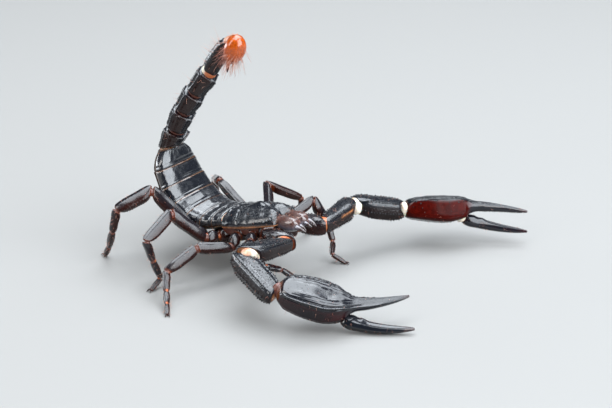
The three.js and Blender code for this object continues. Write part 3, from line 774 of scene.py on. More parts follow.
def shieldGrid(rings=150, around=200):
    # a dome of section() rings, its front edge cut back by notch exp(-(x / w)^2), with each
    # furrow and swelling of the relief added to its height as a product of bells
    places, angles = spread(rings, 0.5), ringAngles(around)
    half, high, brim = profile(shield["rows"], places).T[:, :, None]
    tuck = roundEnds(places, 0.03, 0.05)[:, None]
    x, y = section(angles[None, :], half, high, brim, 2.3)
    x, y = x * tuck, y * tuck
    front = smooth(0.75, 1, places)[:, None]
    along = places[:, None] * foreBody["length"] - shield["notch"] * front * bell(x, 0, half * 0.36)
    off = np.abs(x)
    eyeAlong = along - 8.3
    relief = -0.32 * bell(x, 0, 0.3) * smooth(0.3, 1.5, along) * (1 - smooth(6.2, 7.4, along))
    relief += -0.28 * bell(x, 0, 0.28) * smooth(9.4, 10.6, along)  # groove before the eyes
    relief += -0.42 * bell(along, 3.1 + 0.34 * off, 0.55) * smooth(0.2, 1.2, off)  # rear furrows
    relief += -0.22 * bell(along, 1.15 + 0.05 * off, 0.3)  # furrow along the rear edge
    relief += -0.25 * bell(along, 6.3 + 0.25 * off, 0.5) * smooth(2.0, 3.2, off)  # side furrows
    relief += 0.25 * bell(off, 2.5, 1.3) * smooth(10.5, 13, along)  # front lobes
    relief += 0.12 * bell(off, 1.4, 0.5) * bell(along, 11.2, 2.3)  # swellings ahead of the eyes
    relief += 0.85 * bell(eyeAlong, 0, 1.75) * bell(x, 0, 1.3)  # eye hillock
    relief += -0.3 * bell(eyeAlong, 0, 1.2) * bell(x, 0, 0.28)  # groove between the eyes
    relief += 0.15 * np.sin(along * 2.1 + off) * np.sin(off * 1.9) * bell(off, 3.4, 2)
    relief += 0.16 * bell(half - off, 0.0, 0.35)  # raised margin
    y = y + relief * np.clip(np.cos(angles)[None, :], 0, 1) ** 0.5 * tuck
    return onBody(along, x, shield["rows"][0][2] - y), along, x, angles


fore, foreAlong, foreLeft, foreAngles = shieldGrid()
foreCos = np.cos(foreAngles)[None, :]
foreTop = smooth(0.1, 0.6, foreCos)
foreGrain = foreTop * (0.35 + 0.65 * smooth(1.6, 3, np.abs(foreLeft))) * smooth(2.5, 4.5, foreAlong)
marginTint = np.maximum(smooth(15.0, 15.5, foreAlong) * foreTop,
                        bell(offTop(foreAngles), 92, 4)[None, :] * (foreAlong > 0.4))
grainWeight = foreGrain**2 * smooth(0.15, 0.4, foreCos) * (0.5 + smooth(0.8, 0.5, foreCos))
addPiece("carapaceShield", [
    closedPart(fore, under=underField(foreAngles, 80, 100), joint=marginTint, grain=foreGrain),
    grainsOn(fore, grainWeight, shield["grains"], shield["grainRadius"], shield["grainHeight"]),
], finishes["shell"], ["carapace"])


def eyeParts(side):
    # a lens that looks up and out, in a ring of 26 low beads
    centre = onBody(eyes["along"], side * eyes["apart"], eyes["below"] + 0.05)
    gaze = unit(side * 0.75 * toLeft + 0.7 * bodyUp)
    across = unit(np.cross(gaze, headward))
    turn = ringAngles(26)[:, None]
    rim = centre + 0.12 * gaze + 0.52 * (np.cos(turn) * across + np.sin(turn) * np.cross(across, gaze))
    beads = beadParts(rim, unit(rim - centre + 0.3 * gaze), np.full(26, 0.1), np.full(26, 0.09))
    return [ball(centre, eyes["radius"], gaze, 0.85), beads]


def sideEyeParts(side):
    # small balls in a row behind the front corner of the shield, each smaller than the last
    outward = unit(side * toLeft + 0.3 * bodyUp)
    return [ball(onBody(14.15 - 0.75 * k, side * (4.95 + 0.33 * k), 1.75 + 0.22 * k),
                 0.42 - 0.05 * k, outward) for k in range(eyes["smallEyes"])]


for sideName, side in sides.items():
    title = sideName.title()
    addPiece("eye" + title, eyeParts(side), finishes["eyeGlass"], ["eye_" + sideName])
    addPiece("sideEyes" + title, sideEyeParts(side), finishes["eyeGlass"])

jaws = {
    "base": (14.4, 1.95, 3.1),  # along, out and below, on the fore body
    "tip": (20.2, 1.75, 4.1),
    "rows": [[0, 1.5, 1.3, 1.3], [0.25, 1.75, 1.6, 1.6], [0.6, 1.85, 1.85, 1.7],
             [0.85, 1.6, 1.5, 1.5], [1, 1.2, 1.1, 1.1]],
    "claws": [{"reach": 3.0, "out": 0.75, "down": 0.25, "girth": 0.62, "bow": 0.9},
              {"reach": 2.3, "out": -0.65, "down": 0.5, "girth": 0.6, "bow": -0.35}],
    "toothRadii": [0.3, 0.26, 0.2],
    "toothHeights": [0.45, 0.4, 0.3],
}


def jawParts(side):
    # a swollen base on a straight path, and two horns on curved paths whose girth is
    # g (1 - t^1.6)^0.7, with three teeth on the inner side of each
    base, tip = (onBody(along, side * out, below) for along, out, below in (jaws["base"], jaws["tip"]))
    forward = unit(tip - base)
    places, angles = spread(56, 0.6), ringAngles(64)
    lobes = 0.08 * bell(places[:, None], 0.88, 0.08) * (1 + np.cos(5 * angles))[None, :]
    grid = tubeSurface(base + places[:, None] * (tip - base), toLeft, profile(jaws["rows"], places),
                       angles, 2.3, lobes, roundEnds(places, 0.1, 0.22))
    under = np.maximum(underField(angles, 50, 120), 0.9 * smooth(0.8, 1, places)[:, None])
    parts = [closedPart(grid, under=under)]
    t = np.linspace(0, 1, 26)
    for claw in jaws["claws"]:
        outward = side * np.sign(claw["out"]) * toLeft
        start = base + 0.9 * (tip - base) + side * claw["out"] * toLeft - claw["down"] * bodyUp
        end = start + claw["reach"] * unit(forward - 0.35 * bodyUp - 0.12 * outward)
        middle = (start + end) / 2 + side * claw["bow"] * 0.55 * toLeft + 0.2 * bodyUp
        spine = curvePoints(np.array([start, middle, end]), t)
        girth = claw["girth"] * (1 - t**1.6) ** 0.7 + 0.03
        horn = tubeSurface(spine, toLeft, roundSizes(girth), ringAngles(26), 2.2, 0.0,
                           roundEnds(t, 0.12, 0.04))
        parts.append(closedPart(horn, tip=smooth(0.15, 0.55, t)[:, None]))
        parts.append(beadParts(spine[[8, 13, 18]] - 0.32 * outward, np.tile(-outward, (3, 1)),
                               np.array(jaws["toothRadii"]), np.array(jaws["toothHeights"]), tip=0.9))
    return parts, grid


jawGrids = []
for sideName, side in sides.items():
    parts, grid = jawParts(side)
    jawGrids.append(grid)
    addPiece("jaw" + sideName.title(), parts, finishes["jawShell"], ["jaw_" + sideName])
print("fore body made")


# The seven rings of the back, with their belly plates and the soft flank between

back = {
    "lengths": [2.4, 2.8, 3.2, 3.6, 3.9, 4.1, 4.4],  # along the back
    "climbs": [-18, -6, 12, 33, 49, 61, 71],  # degrees, towards the tail
    "halves": [6.5, 6.9, 7.3, 7.8, 7.9, 7.7, 6.9, 3.3],  # half widths where the rings meet
    "depths": [2.1, 2.3, 3.0, 3.7, 4.1, 4.1, 3.9, 2.6],  # from the side edge down to the belly
    "top": 2.3,  # from the side edge up to the back
    "insets": (0.02, 0.30),  # of each plate's outer and inner sheet
    "skinInset": 0.42,
    "hem": 0.26,  # width of the pale hind edge of each plate
}
backHeadings = [heading(180, climb) for climb in back["climbs"]]
backJoints = chain(onBody(0, 0, 0), back["lengths"], backHeadings)
backNormals = jointNormals(backHeadings, -headward, backHeadings[-1])


def backRows(k, inset):
    # half width, height and depth along ring k; the last ring narrows by place^2.2
    rows = []
    for place in (0, 0.25, 0.5, 0.75, 1):
        share = place**2.2 if k == 6 else place
        half = back["halves"][k] + (back["halves"][k + 1] - back["halves"][k]) * share
        high = back["top"] - (0.2 * place if k == 6 else 0)
        low = back["depths"][k] + (back["depths"][k + 1] - back["depths"][k]) * place
        rows.append([place, half - inset, high - inset, low - inset])
    return rows


def backSheet(k, angles, places, inset, push=0.0):
    # the open sheet of ring k over some angles: point = joint + x right + (y - top) above, slid
    # along the ring so that it runs from a little before one joint's plane to past the other's
    start, end = backJoints[k], backJoints[k + 1]
    forward = unit(end - start)
    right, above = axesAlong(forward, toLeft)
    half, high, low = profile(backRows(k, inset), places).T[:, :, None]
    x, y = swell(*section(angles[None, :], half, high, low, 2.5), push, 1.0)
    point = start + x[..., None] * right + (y - back["top"])[..., None] * above
    reachA, reachB = planeReach(point, (start, end, backNormals[k], backNormals[k + 1], toLeft), 0.0)
    stretch = -0.05 + 1.09 * places[:, None]
    return point + (reachA + (reachB - reachA) * stretch)[..., None] * forward


def tergiteLift(k, place, angle):
    # front edge tucked under the plate before, hind edge raised, a ridge across and low keels
    off = offTop(angle)
    rise = -0.34 * (1 - smooth(0, 0.2, place)) + 0.12 * smooth(0.6, 0.95, place)
    rise = rise - 0.13 * bell(place, 0.27, 0.06) + 0.07 * bell(place, 0.9, 0.06)
    rise = rise + 0.08 * bell(off, 0, 4) * smooth(0.25, 0.5, place)  # low keel down the middle
    rise = rise - 0.06 * bell(off, 20, 9) * bell(place, 0.45, 0.2)
    rise = rise + 0.02 * np.sin(off * 0.31 + 5 * place) * np.sin(place * 11 + k)  # slight unevenness
    if k == 6:
        keels = bell(off, 30, 5) + bell(off, 62, 5)
        rise = rise + 0.22 * keels * smooth(0.35, 0.6, place) * (1 - smooth(0.88, 0.98, place))
    return rise * (1 - smooth(94, 104, off)) - 0.10 * smooth(96, 105, off)


def plateFlow(places, angles, length, size, seed):
    # length along, arc round and a number that tells one plate from the next
    along = places[:, None] * length + 0 * angles[None, :]
    around = np.degrees(angles)[None, :] / 57.3 * size + 0 * places[:, None]
    return np.stack([along, around, np.full(along.shape, seed * 7.3)], axis=-1)


def tergitePart(k):
    # a plate over the back, with a pale hem along its hind edge and its two sides
    angles, places = np.radians(np.linspace(-105, 105, 150)), np.linspace(0, 1, 44)
    outside, inside = back["insets"]
    outer = backSheet(k, angles, places, outside, tergiteLift(k, places[:, None], angles[None, :]))
    inner = backSheet(k, angles, places, inside)
    off = offTop(angles)
    hem = back["hem"] / back["lengths"][k]
    edge = smooth(98, 104, off)[None, :] + smooth(1 - hem, 1 - 0.6 * hem, places)[:, None]
    grain = smooth(0.35, 0.8, places)[:, None] * (0.25 + 0.6 * smooth(55, 95, off))[None, :]
    flow = plateFlow(places, angles, back["lengths"][k], 7, k + 1)
    return slabPart(outer, inner, flow=flow, under=smooth(70, 110, off)[None, :],
                    joint=np.minimum(0.75 * edge, 1), grain=grain)


def bellyPart(k):
    # a plate under the belly, its front edge tucked in and its hind edge a little proud
    angles, places = np.radians(np.linspace(124, 236, 70)), np.linspace(0, 1, 30)
    lift = -0.25 * (1 - smooth(0, 0.2, places)) + 0.05 * smooth(0.8, 1, places)
    outside, inside = back["insets"]
    outer = backSheet(k, angles, places, outside, lift[:, None])
    return slabPart(outer, backSheet(k, angles, places, inside), under=0.7, joint=0.15)


def flankSkinPart():
    # a skin just inside all seven rings, pleated by 0.09 sin(260 run) along the flanks
    angles = ringAngles(160)
    rings = [backSheet(k, angles, np.linspace(0, 1, 13), back["skinInset"]) for k in range(7)]
    skin = np.concatenate([ring[:-1] for ring in rings[:-1]] + [rings[-1]])
    run = np.linspace(0, 1, len(skin))[:, None]
    pleats = 0.09 * np.sin(260 * run) * bell(offTop(angles), 117, 12)[None, :]
    middle = skin.mean(axis=1, keepdims=True)
    skin = skin + pleats[..., None] * unit(skin - middle)
    caps = [skin[end:][:1] * 0.3 + middle[end:][:1] * 0.7 for end in (0, -1)]
    return closedPart(np.concatenate([caps[0], skin, caps[1]]), under=0.45)


for k in range(7):
    addPiece(f"backPlate{k + 1}", [tergitePart(k), bellyPart(k)], finishes["backShell"],
             [f"abdomen_{k + 1}"])
addPiece("flankSkin", [flankSkinPart()], finishes["membrane"])


# The underside, from which the limbs spring, and the combs

legs = [  # lengths from trochanter to tarsus, half width, hip place on the body and its lead
    {"lengths": [3.0, 7.4, 7.6, 4.0, 3.9, 4.2], "half": 1.1, "hip": [8.6, 5.8, 5.6], "lead": -1.0},
    {"lengths": [3.4, 9.7, 9.2, 5.2, 4.0, 3.8], "half": 1.2, "hip": [4.3, 6.2, 5.6], "lead": 0.6},
    {"lengths": [3.5, 11.8, 10.1, 6.0, 5.8, 4.2], "half": 1.3, "hip": [-1.7, 6.3, 5.8], "lead": 3.4},
    {"lengths": [5.1, 13.9, 9.9, 6.0, 6.6, 4.6], "half": 1.4, "hip": [-5.2, 5.9, 6.5], "lead": 5.8},
]
stance = {  # yaws outwards and pitches of each leg's segments, in degrees
    (1, "right"): ([60, 72, -60, -34, -34, -30], [-8, 0, -36, -12, -34]),
    (2, "right"): ([83, 116, 111, 54, 50, 51], [-36, 10, -25, -39, -23]),
    (3, "right"): ([112, 122, 91, -88, -78, 92], [4, 42, -23, -70, -68]),
    (4, "right"): ([119, 173, 124, 161, 212, 207], [38, 35, -22, -77, -57]),
    (1, "left"): ([55, 72, 18, -24, -58, 24], [12, 20, -57, -62, -34]),
    (2, "left"): ([114, 127, 40, 81, 85, 85], [0, 27, -24, -87, -58]),
    (3, "left"): ([122, 168, 135, 130, 125, 120], [6, 27, -16, -64, -64]),
    (4, "left"): ([138, 166, 150, 150, 150, 150], [10, 13, -12, -60, -24]),
}
arms = {  # headings in degrees, how far each joint opens, and size, reach, bulge and tint of its skin
    "right": {"root": [12.6, 4.4, 6.0], "yaw": [16, 97, 22, -34], "pitch": [0, 7, -15, -17],
              "fixed": [-52, 4], "moving": [-27, -6], "elbow": [1.0, 1.2],
              "opening": [0.3, 0.5, 0.9, 0.0], "stripe": 0.0,
              "skin": [[1.6, 1.6, 0.5, 0.9], [1.8, 1.6, 0.5, 0.4], [1.8, 1.8, 1.1, 0.0],
                       [1.8, 1.2, 0.0, 1.6]]},
    "left": {"root": [14.8, 4.6, 6.0], "yaw": [27, 92, 52, 40], "pitch": [0, 2.3, -12, -4],
             "fixed": [32, 0], "moving": [27, -10], "elbow": [0, 0],
             "opening": [0.3, 0.4, 1.5, 1.4], "stripe": 1.0,
             "skin": [[1.6, 1.6, 0.5, 0.9], [1.8, 1.6, 0.4, 0.7], [1.9, 2.3, 0.8, -0.1],
                      [1.8, 2.0, 0.6, -0.1]]},
}
armBuild = {
    "lengths": [6.4, 14.0, 14.4, 16.0],  # trochanter, femur, patella and palm
    "fixedLength": 15.4,
    "movingLength": 17.2,
    "roll": 27,  # degrees that the hand turns about its length
    "lead": -2.6,
    "half": 2.1,
}

underside = {
    # place, half width, height and depth of each ring; the limb roots' are shares of their half width
    "coxaShares": [[0, 1, 1, 1], [0.5, 1.15, 1.45, 1.1], [0.85, 1.1, 1.35, 1.1], [1, 0.85, 0.9, 0.85]],
    "breastRows": [[0, 4.2, 1.6, 1.5], [0.5, 4.4, 1.8, 1.7], [1, 3.4, 1.6, 1.4]],
    "breastEnds": (0.4, 12.9),  # along the fore body
    "skinRows": [[0, 5.6, 1.2, 1.8], [0.15, 5.9, 1.6, 1.9], [0.5, 5.8, 1.6, 1.9], [0.8, 4.7, 1.5, 1.7],
                 [1, 3.3, 1.1, 1.2]],
    "skinStart": -1.2,
    "skinLength": 15.0,
    "skinBelow": 4.35,
}


def rootOf(place, side):
    # where a limb leaves the body: along, out and below
    return onBody(place[0], side * place[1], place[2])


def coxaHeading(side, lead):
    # outwards, a little up, and to the rear by lead
    return side * 3.8 * toLeft - lead * headward + 0.6 * bodyUp


def coxaPart(root, side, half, lead, first):
    # the root of a limb, from under the body out to its first joint
    outward = coxaHeading(side, lead)
    ahead = unit(outward)
    span = [root - outward * 0.92, root, ahead, unit(ahead + first), side * headward]
    rows = sharesOf(underside["coxaShares"], half)
    keels = [{"angle": angle, "width": 12, "height": 0.1} for angle in (90, -90)]
    return plate(span, rows, keels, 2.8, 40, 48, (0.08, 0.08), jointTint=0.12,
                 under=underField(ringAngles(48), 40, 100))[0]


def breastPart():
    # the plate between the limb roots, with a groove down its middle
    rear, front = (onBody(along, 0, 6.4) for along in underside["breastEnds"])
    return plate([rear, front, headward, headward, -toLeft], underside["breastRows"],
                 [{"angle": 180, "width": 6, "height": -0.25}], 3.2, 60, 72, jointTint=0.02,
                 under=underField(ringAngles(72), 20, 80))[0]


def sideSkinPart():
    # a wide low tube under the shield's edge, wrinkled by 0.07 sin(60 q + 3 sin(9 t))
    places, angles = np.linspace(0, 1, 60), ringAngles(120)
    along = underside["skinStart"] + underside["skinLength"] * places
    path = onBody(along, 0 * places, underside["skinBelow"] + 0 * places)
    wrinkles = 0.07 * np.sin(angles * 60 + 3 * np.sin(places[:, None] * 9))
    grid = tubeSurface(path, -toLeft, profile(underside["skinRows"], places), angles, 3.4, wrinkles,
                       roundEnds(places, 0.08, 0.1))
    return closedPart(grid, under=0.85)


coxae = []
for (number, sideName), (yaw, pitch) in stance.items():
    leg, side = legs[number - 1], sides[sideName]
    first = heading(yaw[0], pitch[0], side)
    coxae.append(coxaPart(rootOf(leg["hip"], side), side, leg["half"], leg["lead"], first))
for sideName, arm in arms.items():
    side = sides[sideName]
    first = heading(arm["yaw"][0], arm["pitch"][0], side)
    coxae.append(coxaPart(rootOf(arm["root"], side), side, armBuild["half"], armBuild["lead"], first))
addPiece("breastPlates", [*coxae, breastPart()], finishes["legShell"], ["underside"])
addPiece("sideSkin", [sideSkinPart()], finishes["thinSkin"])

combs = {
    "root": (-1.6, 1.2, 9.6),
    "length": 6.6,
    "sweep": 28,  # degrees, outer end towards the rear
    "teeth": 12,
    "toothLength": 1.25,
    "shaftRows": [[0, 0.62, 0.36, 0.36], [0.5, 0.55, 0.32, 0.32], [1, 0.25, 0.2, 0.2]],
    "toothRows": [[0, 0.2, 0.2, 0.2], [0.6, 0.25, 0.24, 0.24], [1, 0.2, 0.16, 0.16]],
}


def combParts(side):
    # a bowed shaft swollen by |sin(7 pi t)|, with a flat tooth and a round foot at each step
    along, out, below = combs["root"]
    root = onBody(along, side * out, below)
    turn = side * np.radians(90 + combs["sweep"])
    ahead = np.array([np.cos(turn), np.sin(turn), 0])
    trail = np.array([-abs(np.sin(turn)), side * np.cos(turn), 0])
    t, s = np.linspace(0, 1, 40), np.linspace(0, 1, 14)
    bow = (0.25 * np.sin(np.pi * t))[:, None] * up
    shaft = root + t[:, None] * combs["length"] * ahead + bow - 0.3 * t[:, None] * trail
    waves = 0.07 * np.abs(np.sin(np.pi * 7 * t))[:, None]
    parts = [closedPart(tubeSurface(shaft, trail, profile(combs["shaftRows"], t), ringAngles(32), 2.4,
                                    waves, roundEnds(t, 0.08, 0.1)))]
    for k in range(combs["teeth"]):
        share = (k + 0.5) / combs["teeth"]
        foot = root + share * (combs["length"] - 0.1) * ahead + (0.45 - 0.3 * share) * trail - 0.12 * up
        tip = foot + (combs["toothLength"] - 0.35 * share) * trail - 0.28 * up
        tooth = tubeSurface(foot + s[:, None] * (tip - foot), ahead, profile(combs["toothRows"], s),
                            ringAngles(16), 2.2, 0.0, roundEnds(s, 0.15, 0.3))
        parts.append(closedPart(tooth, under=0.3))
        parts.append(ball(foot - 0.1 * trail, 0.2, up, 0.9, 12, 9, under=0.1))
    return parts


for sideName, side in sides.items():
    addPiece("comb" + sideName.title(), combParts(side), finishes["combHorn"], ["comb_" + sideName])
print("back and belly made")


# The tail and the sting

tail = {
    "lengths": [5.9, 6.4, 6.8, 7.8, 10.9],
    "climbs": [66, 63, 54.5, 51, 54],  # degrees above level
    "halves": [2.95, 2.85, 2.75, 2.5, 2.0],
    "lean": 5,  # degrees, towards the animal's right
    "rolls": [18, 24, 28, 28, 26],  # degrees that each plate turns about its own length
    # place, half width, height and depth of each ring, as shares of the plate's half width
    "rings": [[0, 0.74, 0.72, 0.74], [0.1, 0.87, 0.82, 0.87], [0.45, 0.94, 0.92, 0.94],
              [0.8, 0.98, 1.03, 0.98], [0.93, 0.92, 0.99, 0.90], [1, 0.76, 0.80, 0.74]],
    "lastRings": [[0, 0.72, 0.72, 0.74], [0.12, 0.92, 0.9, 0.94], [0.45, 1.0, 0.98, 1.02],
                  [0.85, 0.86, 0.86, 0.86], [1, 0.68, 0.7, 0.7]],
    # for each pair of keels, the angle of its first from the top, height and width
    "keels": [(-30, 0.34, 7), (66, 0.26, 6), (128, 0.3, 6), (-166, 0.22, 5)],
    "sideKeels": [(97, 0.2, 6)],  # on the first two plates only
    "lastKeels": [(-36, 0.16, 7), (-92, 0.12, 6), (130, 0.28, 5), (180, 0.16, 5)],
    "dish": 0.34,  # hollow of the faces between the keels
    "skin": 0.7,  # girth of the soft skin at a joint, as a share of the plates'
    "lastSkin": 0.88,
}
lean = np.radians(tail["lean"])
leanTurn = np.array([[1, 0, 0], [0, np.cos(lean), -np.sin(lean)], [0, np.sin(lean), np.cos(lean)]])
tailHeadings = [leanTurn @ heading(0, climb) for climb in tail["climbs"]]
tailRoot = backJoints[-1] - back["top"] * axesAlong(backHeadings[-1], toLeft)[1]
tailJoints = chain(tailRoot, tail["lengths"], tailHeadings)
tailNormals = jointNormals(tailHeadings, backHeadings[-1], tailHeadings[-1])
tailNormals[0] = backHeadings[-1]


def tailKeels(k):
    # both keels of each pair, in the form that ridges reads
    rows = tail["lastKeels"] if k == 4 else tail["keels"] + (tail["sideKeels"] if k < 2 else [])
    return [{"angle": one, "width": width, "height": height, "beads": 9, "waviness": 0.35,
             "span": (0.1, 0.93)} for angle, height, width in rows for one in (angle, -angle)]


def tailParts(k):
    # an eight-sided plate with dished faces, keels at its edges and beads on the upper keels
    count, around = 110, 180
    places, angles = spread(count)[:, None], ringAngles(around)
    off = offTop(angles)[None, :]
    dish = bell(off, 47, 12) + bell(off, 97, 15) + bell(off, 147, 10) + bell(off, 0, 14)
    hollow = -tail["dish"] * dish * smooth(0.08, 0.25, places) * (1 - smooth(0.78, 0.9, places))
    half = tail["halves"][k]
    shares = tail["lastRings"] if k == 4 else tail["rings"]
    rows = sharesOf(shares, half)
    roll = np.radians(tail["rolls"][k])
    lateral = np.cos(roll) * toLeft - np.sin(roll) * np.cross(toLeft, tailHeadings[k])
    span = [tailJoints[k], tailJoints[k + 1], tailNormals[k], tailNormals[k + 1], lateral]
    part, grid = plate(span, rows, tailKeels(k), 2.8, count, around, (0.06, 0.07), grain=0.45,
                       jointTint=0.015, push=hollow, under=bell(off, 92, 38))
    parts = [part]
    for keel in tailKeels(k):
        if abs(keel["angle"]) < 80 or k == 4:
            big = 0.16 if abs(keel["angle"]) < 40 else 0.11
            parts.append(beadRow(grid, keel["angle"], 0.5, big, big, 0.12, 0.93))
    return parts, grid


tailGrids, tailSkins = [], []
tailBefore = [backHeadings[-1], *tailHeadings]
for k in range(5):
    parts, grid = tailParts(k)
    tailGrids.append(grid)
    addPiece(f"tailPlate{k + 1}", parts, finishes["tailShell"], [f"tail_{k + 1}"])
    size = (tail["lastSkin"] if k == 4 else tail["skin"]) * min(tail["halves"][max(k - 1, 0):k + 1])
    tailSkins.append(hinge(tailJoints[k], tailBefore[k], tailHeadings[k], toLeft, size, 1.1, 0.15,
                           0.3 if k == 4 else 1.2))

sting = {
    "offset": [2.6, -1.2, -1.25],  # from the end of the tail to the middle of the bulb
    "tilt": 21,  # degrees of the bulb's axis from upright
    "radius": 2.6,
    "halfLength": 3.8,
    "needle": [[-0.1, -1.35, -0.6], [-0.95, -1.75, -3.9], [-1.7, -0.6, -5.8]],  # from the middle
    "needleRows": [[0, 1.25], [0.15, 1.05], [0.35, 0.68], [0.6, 0.47], [0.85, 0.26], [1, 0.05]],
    "neckRows": [[0, 1.3, 1.3, 1.3], [0.5, 1.15, 1.1, 1.1], [1, 1.4, 1.4, 1.4]],
    "lumps": 60,
}
stingCentre = tailJoints[-1] + np.array(sting["offset"])
bulbAxis = heading(0, 90 - sting["tilt"])


def bulbSurface():
    # radius r sqrt(1 - z^2) (1 + 0.07 z) along the bulb's axis, with five shallow lobes round it
    angles, z = ringAngles(96), -np.cos(np.linspace(0, np.pi, 70))
    radius = sting["radius"] * np.sqrt(np.clip(1 - z**2, 0.0004, 1)) * (1 + 0.07 * z)
    path = stingCentre + (sting["halfLength"] * z)[:, None] * bulbAxis
    lobes = 0.10 * np.cos(np.radians(5 * turnGap(angles, 100)))[None, :] * (1 - z[:, None] ** 2)
    return tubeSurface(path, toLeft, roundSizes(radius), angles, 2.0, lobes), z


def needleSurface():
    # a tapering round section along a curve that leaves the bulb's lower front
    t = np.linspace(0, 1, 60)
    girth = profile(sting["needleRows"], t)[:, 0]
    path = alongCurve(stingCentre + np.array(sting["needle"]), t)
    return tubeSurface(path, toLeft, roundSizes(girth), ringAngles(48), 2.0, 0.0,
                       roundEnds(t, 0.1, 0.01)), t


def stingNeckPart():
    # soft skin from the end of the tail up into the bulb
    t = np.linspace(0, 1, 24)
    end, ahead = tailJoints[-1], tailHeadings[-1]
    path = curvePoints(np.array([end - 0.5 * ahead, end + 1.1 * ahead, stingCentre + 2.6 * bulbAxis]), t)
    grid = tubeSurface(path, toLeft, profile(sting["neckRows"], t), ringAngles(48), 2.2, 0.0,
                       roundEnds(t, 0.2, 0.1))
    return closedPart(grid, under=0.7)


bulbGrid, bulbRun = bulbSurface()
needleGrid, needleRun = needleSurface()
lumps, lumpNormals, *_ = scatter(bulbGrid[6:-6], 1.0, sting["lumps"])
addPiece("stingBulb", [
    closedPart(bulbGrid, under=0.15 + 0.35 * smooth(0.3, -0.9, bulbRun)[:, None], grain=0.1),
    closedPart(needleGrid, under=0.4 + 0.4 * smooth(0.2, 0.6, needleRun)[:, None],
               tip=smooth(0.45, 0.85, needleRun)[:, None]),
    beadParts(lumps, lumpNormals, np.full(len(lumps), 0.08), np.full(len(lumps), 0.05), under=0.5),
], finishes["stingSkin"], ["sting"])
addPiece("tailSkins", tailSkins[:4], finishes["thinSkin"])
addPiece("stingSkins", [tailSkins[4], stingNeckPart()], finishes["membrane"])
print("tail made")


# The arms, with their hands and moving fingers

armPlates = {
    "trochanter": {
        "rows": [[0, 1.9, 1.8, 1.9], [0.3, 2.3, 2.1, 2.3], [0.75, 2.4, 2.4, 2.4], [1, 2.0, 2.0, 2.0]],
        "keels": [{"angle": angle, "width": 8, "height": 0.16, "beads": 5} for angle in (45, -45, 120)],
        "grains": 90, "jointTint": 0.03, "finish": "legShell"},
    "femur": {
        "rows": [[0, 1.6, 1.6, 1.5], [0.12, 1.8, 1.8, 1.7], [0.5, 2.2, 2.0, 2.0],
                 [0.9, 2.35, 2.1, 2.1], [1, 2.1, 1.9, 1.9]],
        "keels": [{"angle": angle, "width": 6, "height": 0.3, "beads": 14, "span": (0.1, 0.92)}
                  for angle in (48, -48, 132, -132)],
        "grains": 300, "jointTint": 0.03, "finish": "armShell"},
    "patella": {
        "rows": [[0, 1.9, 1.8, 1.9], [0.12, 2.5, 2.25, 2.4], [0.5, 2.75, 2.45, 2.8],
                 [0.8, 2.6, 2.35, 2.55], [0.93, 2.3, 2.15, 2.15], [1, 1.95, 1.85, 1.85]],
        "keels": [{"angle": angle, "width": 7, "height": 0.26, "beads": 12, "span": (0.1, 0.9)}
                  for angle in (42, -42, 95, 138, -138)],
        "grains": 300, "jointTint": 0.012, "finish": "armShell"},
}


def armParts(kind, span, drop, aside, openings, stripe):
    # a squarish plate with toothed keels, grains over its top and, on a femur, a pale stripe
    around, count = 144, 96
    angles, places = ringAngles(around), spread(count)
    window = smooth(0.42, 0.55, places) * smooth(0.1, 0.2, 1 - places)
    tint = stripe * bell(turnGap(angles, 80), 0, 6)[None, :] * window[:, None]
    part, grid = plate(span, kind["rows"], kind["keels"], 3.0, count, around, drop=drop, aside=aside,
                       grain=0.8, jointTint=kind["jointTint"], tint=tint,
                       under=underField(angles, 48, 100), openings=openings)
    parts = [part]
    for keel in kind["keels"]:
        parts.append(beadRow(grid, keel["angle"], 0.78, 0.2, 0.26, 0.12, 0.9))
    weight = smooth(-0.1, 0.6, np.cos(angles))[None, :]
    weight = weight * (smooth(0.08, 0.16, places) * smooth(0.08, 0.16, 1 - places))[:, None]
    parts.append(grainsOn(grid, weight, kind["grains"], (0.07, 0.1), (0.06, 0.08)))
    return parts, grid


hands = {
    "palm": 12,  # how far the straight path runs before it joins the fixed finger's curve
    "curve": [(-4, 1.2), (4, 1.9)],  # its first corners, ahead of the palm's end and above it
    # run from the wrist, half width, height and depth
    "palmRows": [[0, 2.1, 1.9, 1.8], [0.9, 2.75, 2.5, 2.1], [2.3, 3.4, 2.9, 2.4], [4.8, 4.05, 3.3, 2.7],
                 [8.8, 4.4, 3.55, 3.05], [12.8, 4.1, 3.3, 3.1], [14.8, 3.45, 2.6, 3.0],
                 [16.2, 2.6, 1.75, 2.4], [17.6, 1.95, 1.35, 1.7]],
    # share of the curve, half width, height and depth
    "fingerRows": [[0.45, 1.5, 1.15, 1.32], [0.6, 1.18, 0.95, 1.1], [0.85, 0.7, 0.62, 0.7],
                   [1, 0.3, 0.3, 0.3]],
    # angle towards the moving finger's side, height, width, and the run that the keel spans
    "keels": [(37, -0.26, 5, 0.8, 19), (48, 0.42, 6, 0.8, 24), (62, -0.12, 6, 1, 16),
              (98, 0.12, 6, 1, 15), (8, 0.10, 6, 2, 15), (-22, 0.08, 5, 2, 14), (140, 0.26, 6, 1, 15),
              (-46, 0.26, 6, 1, 15), (-128, 0.14, 7, 2, 14)],
    "lines": 40,  # fine ridges along the top
    "grains": 520,
    "crestGrains": 260,
    "toothAngle": 158,
}


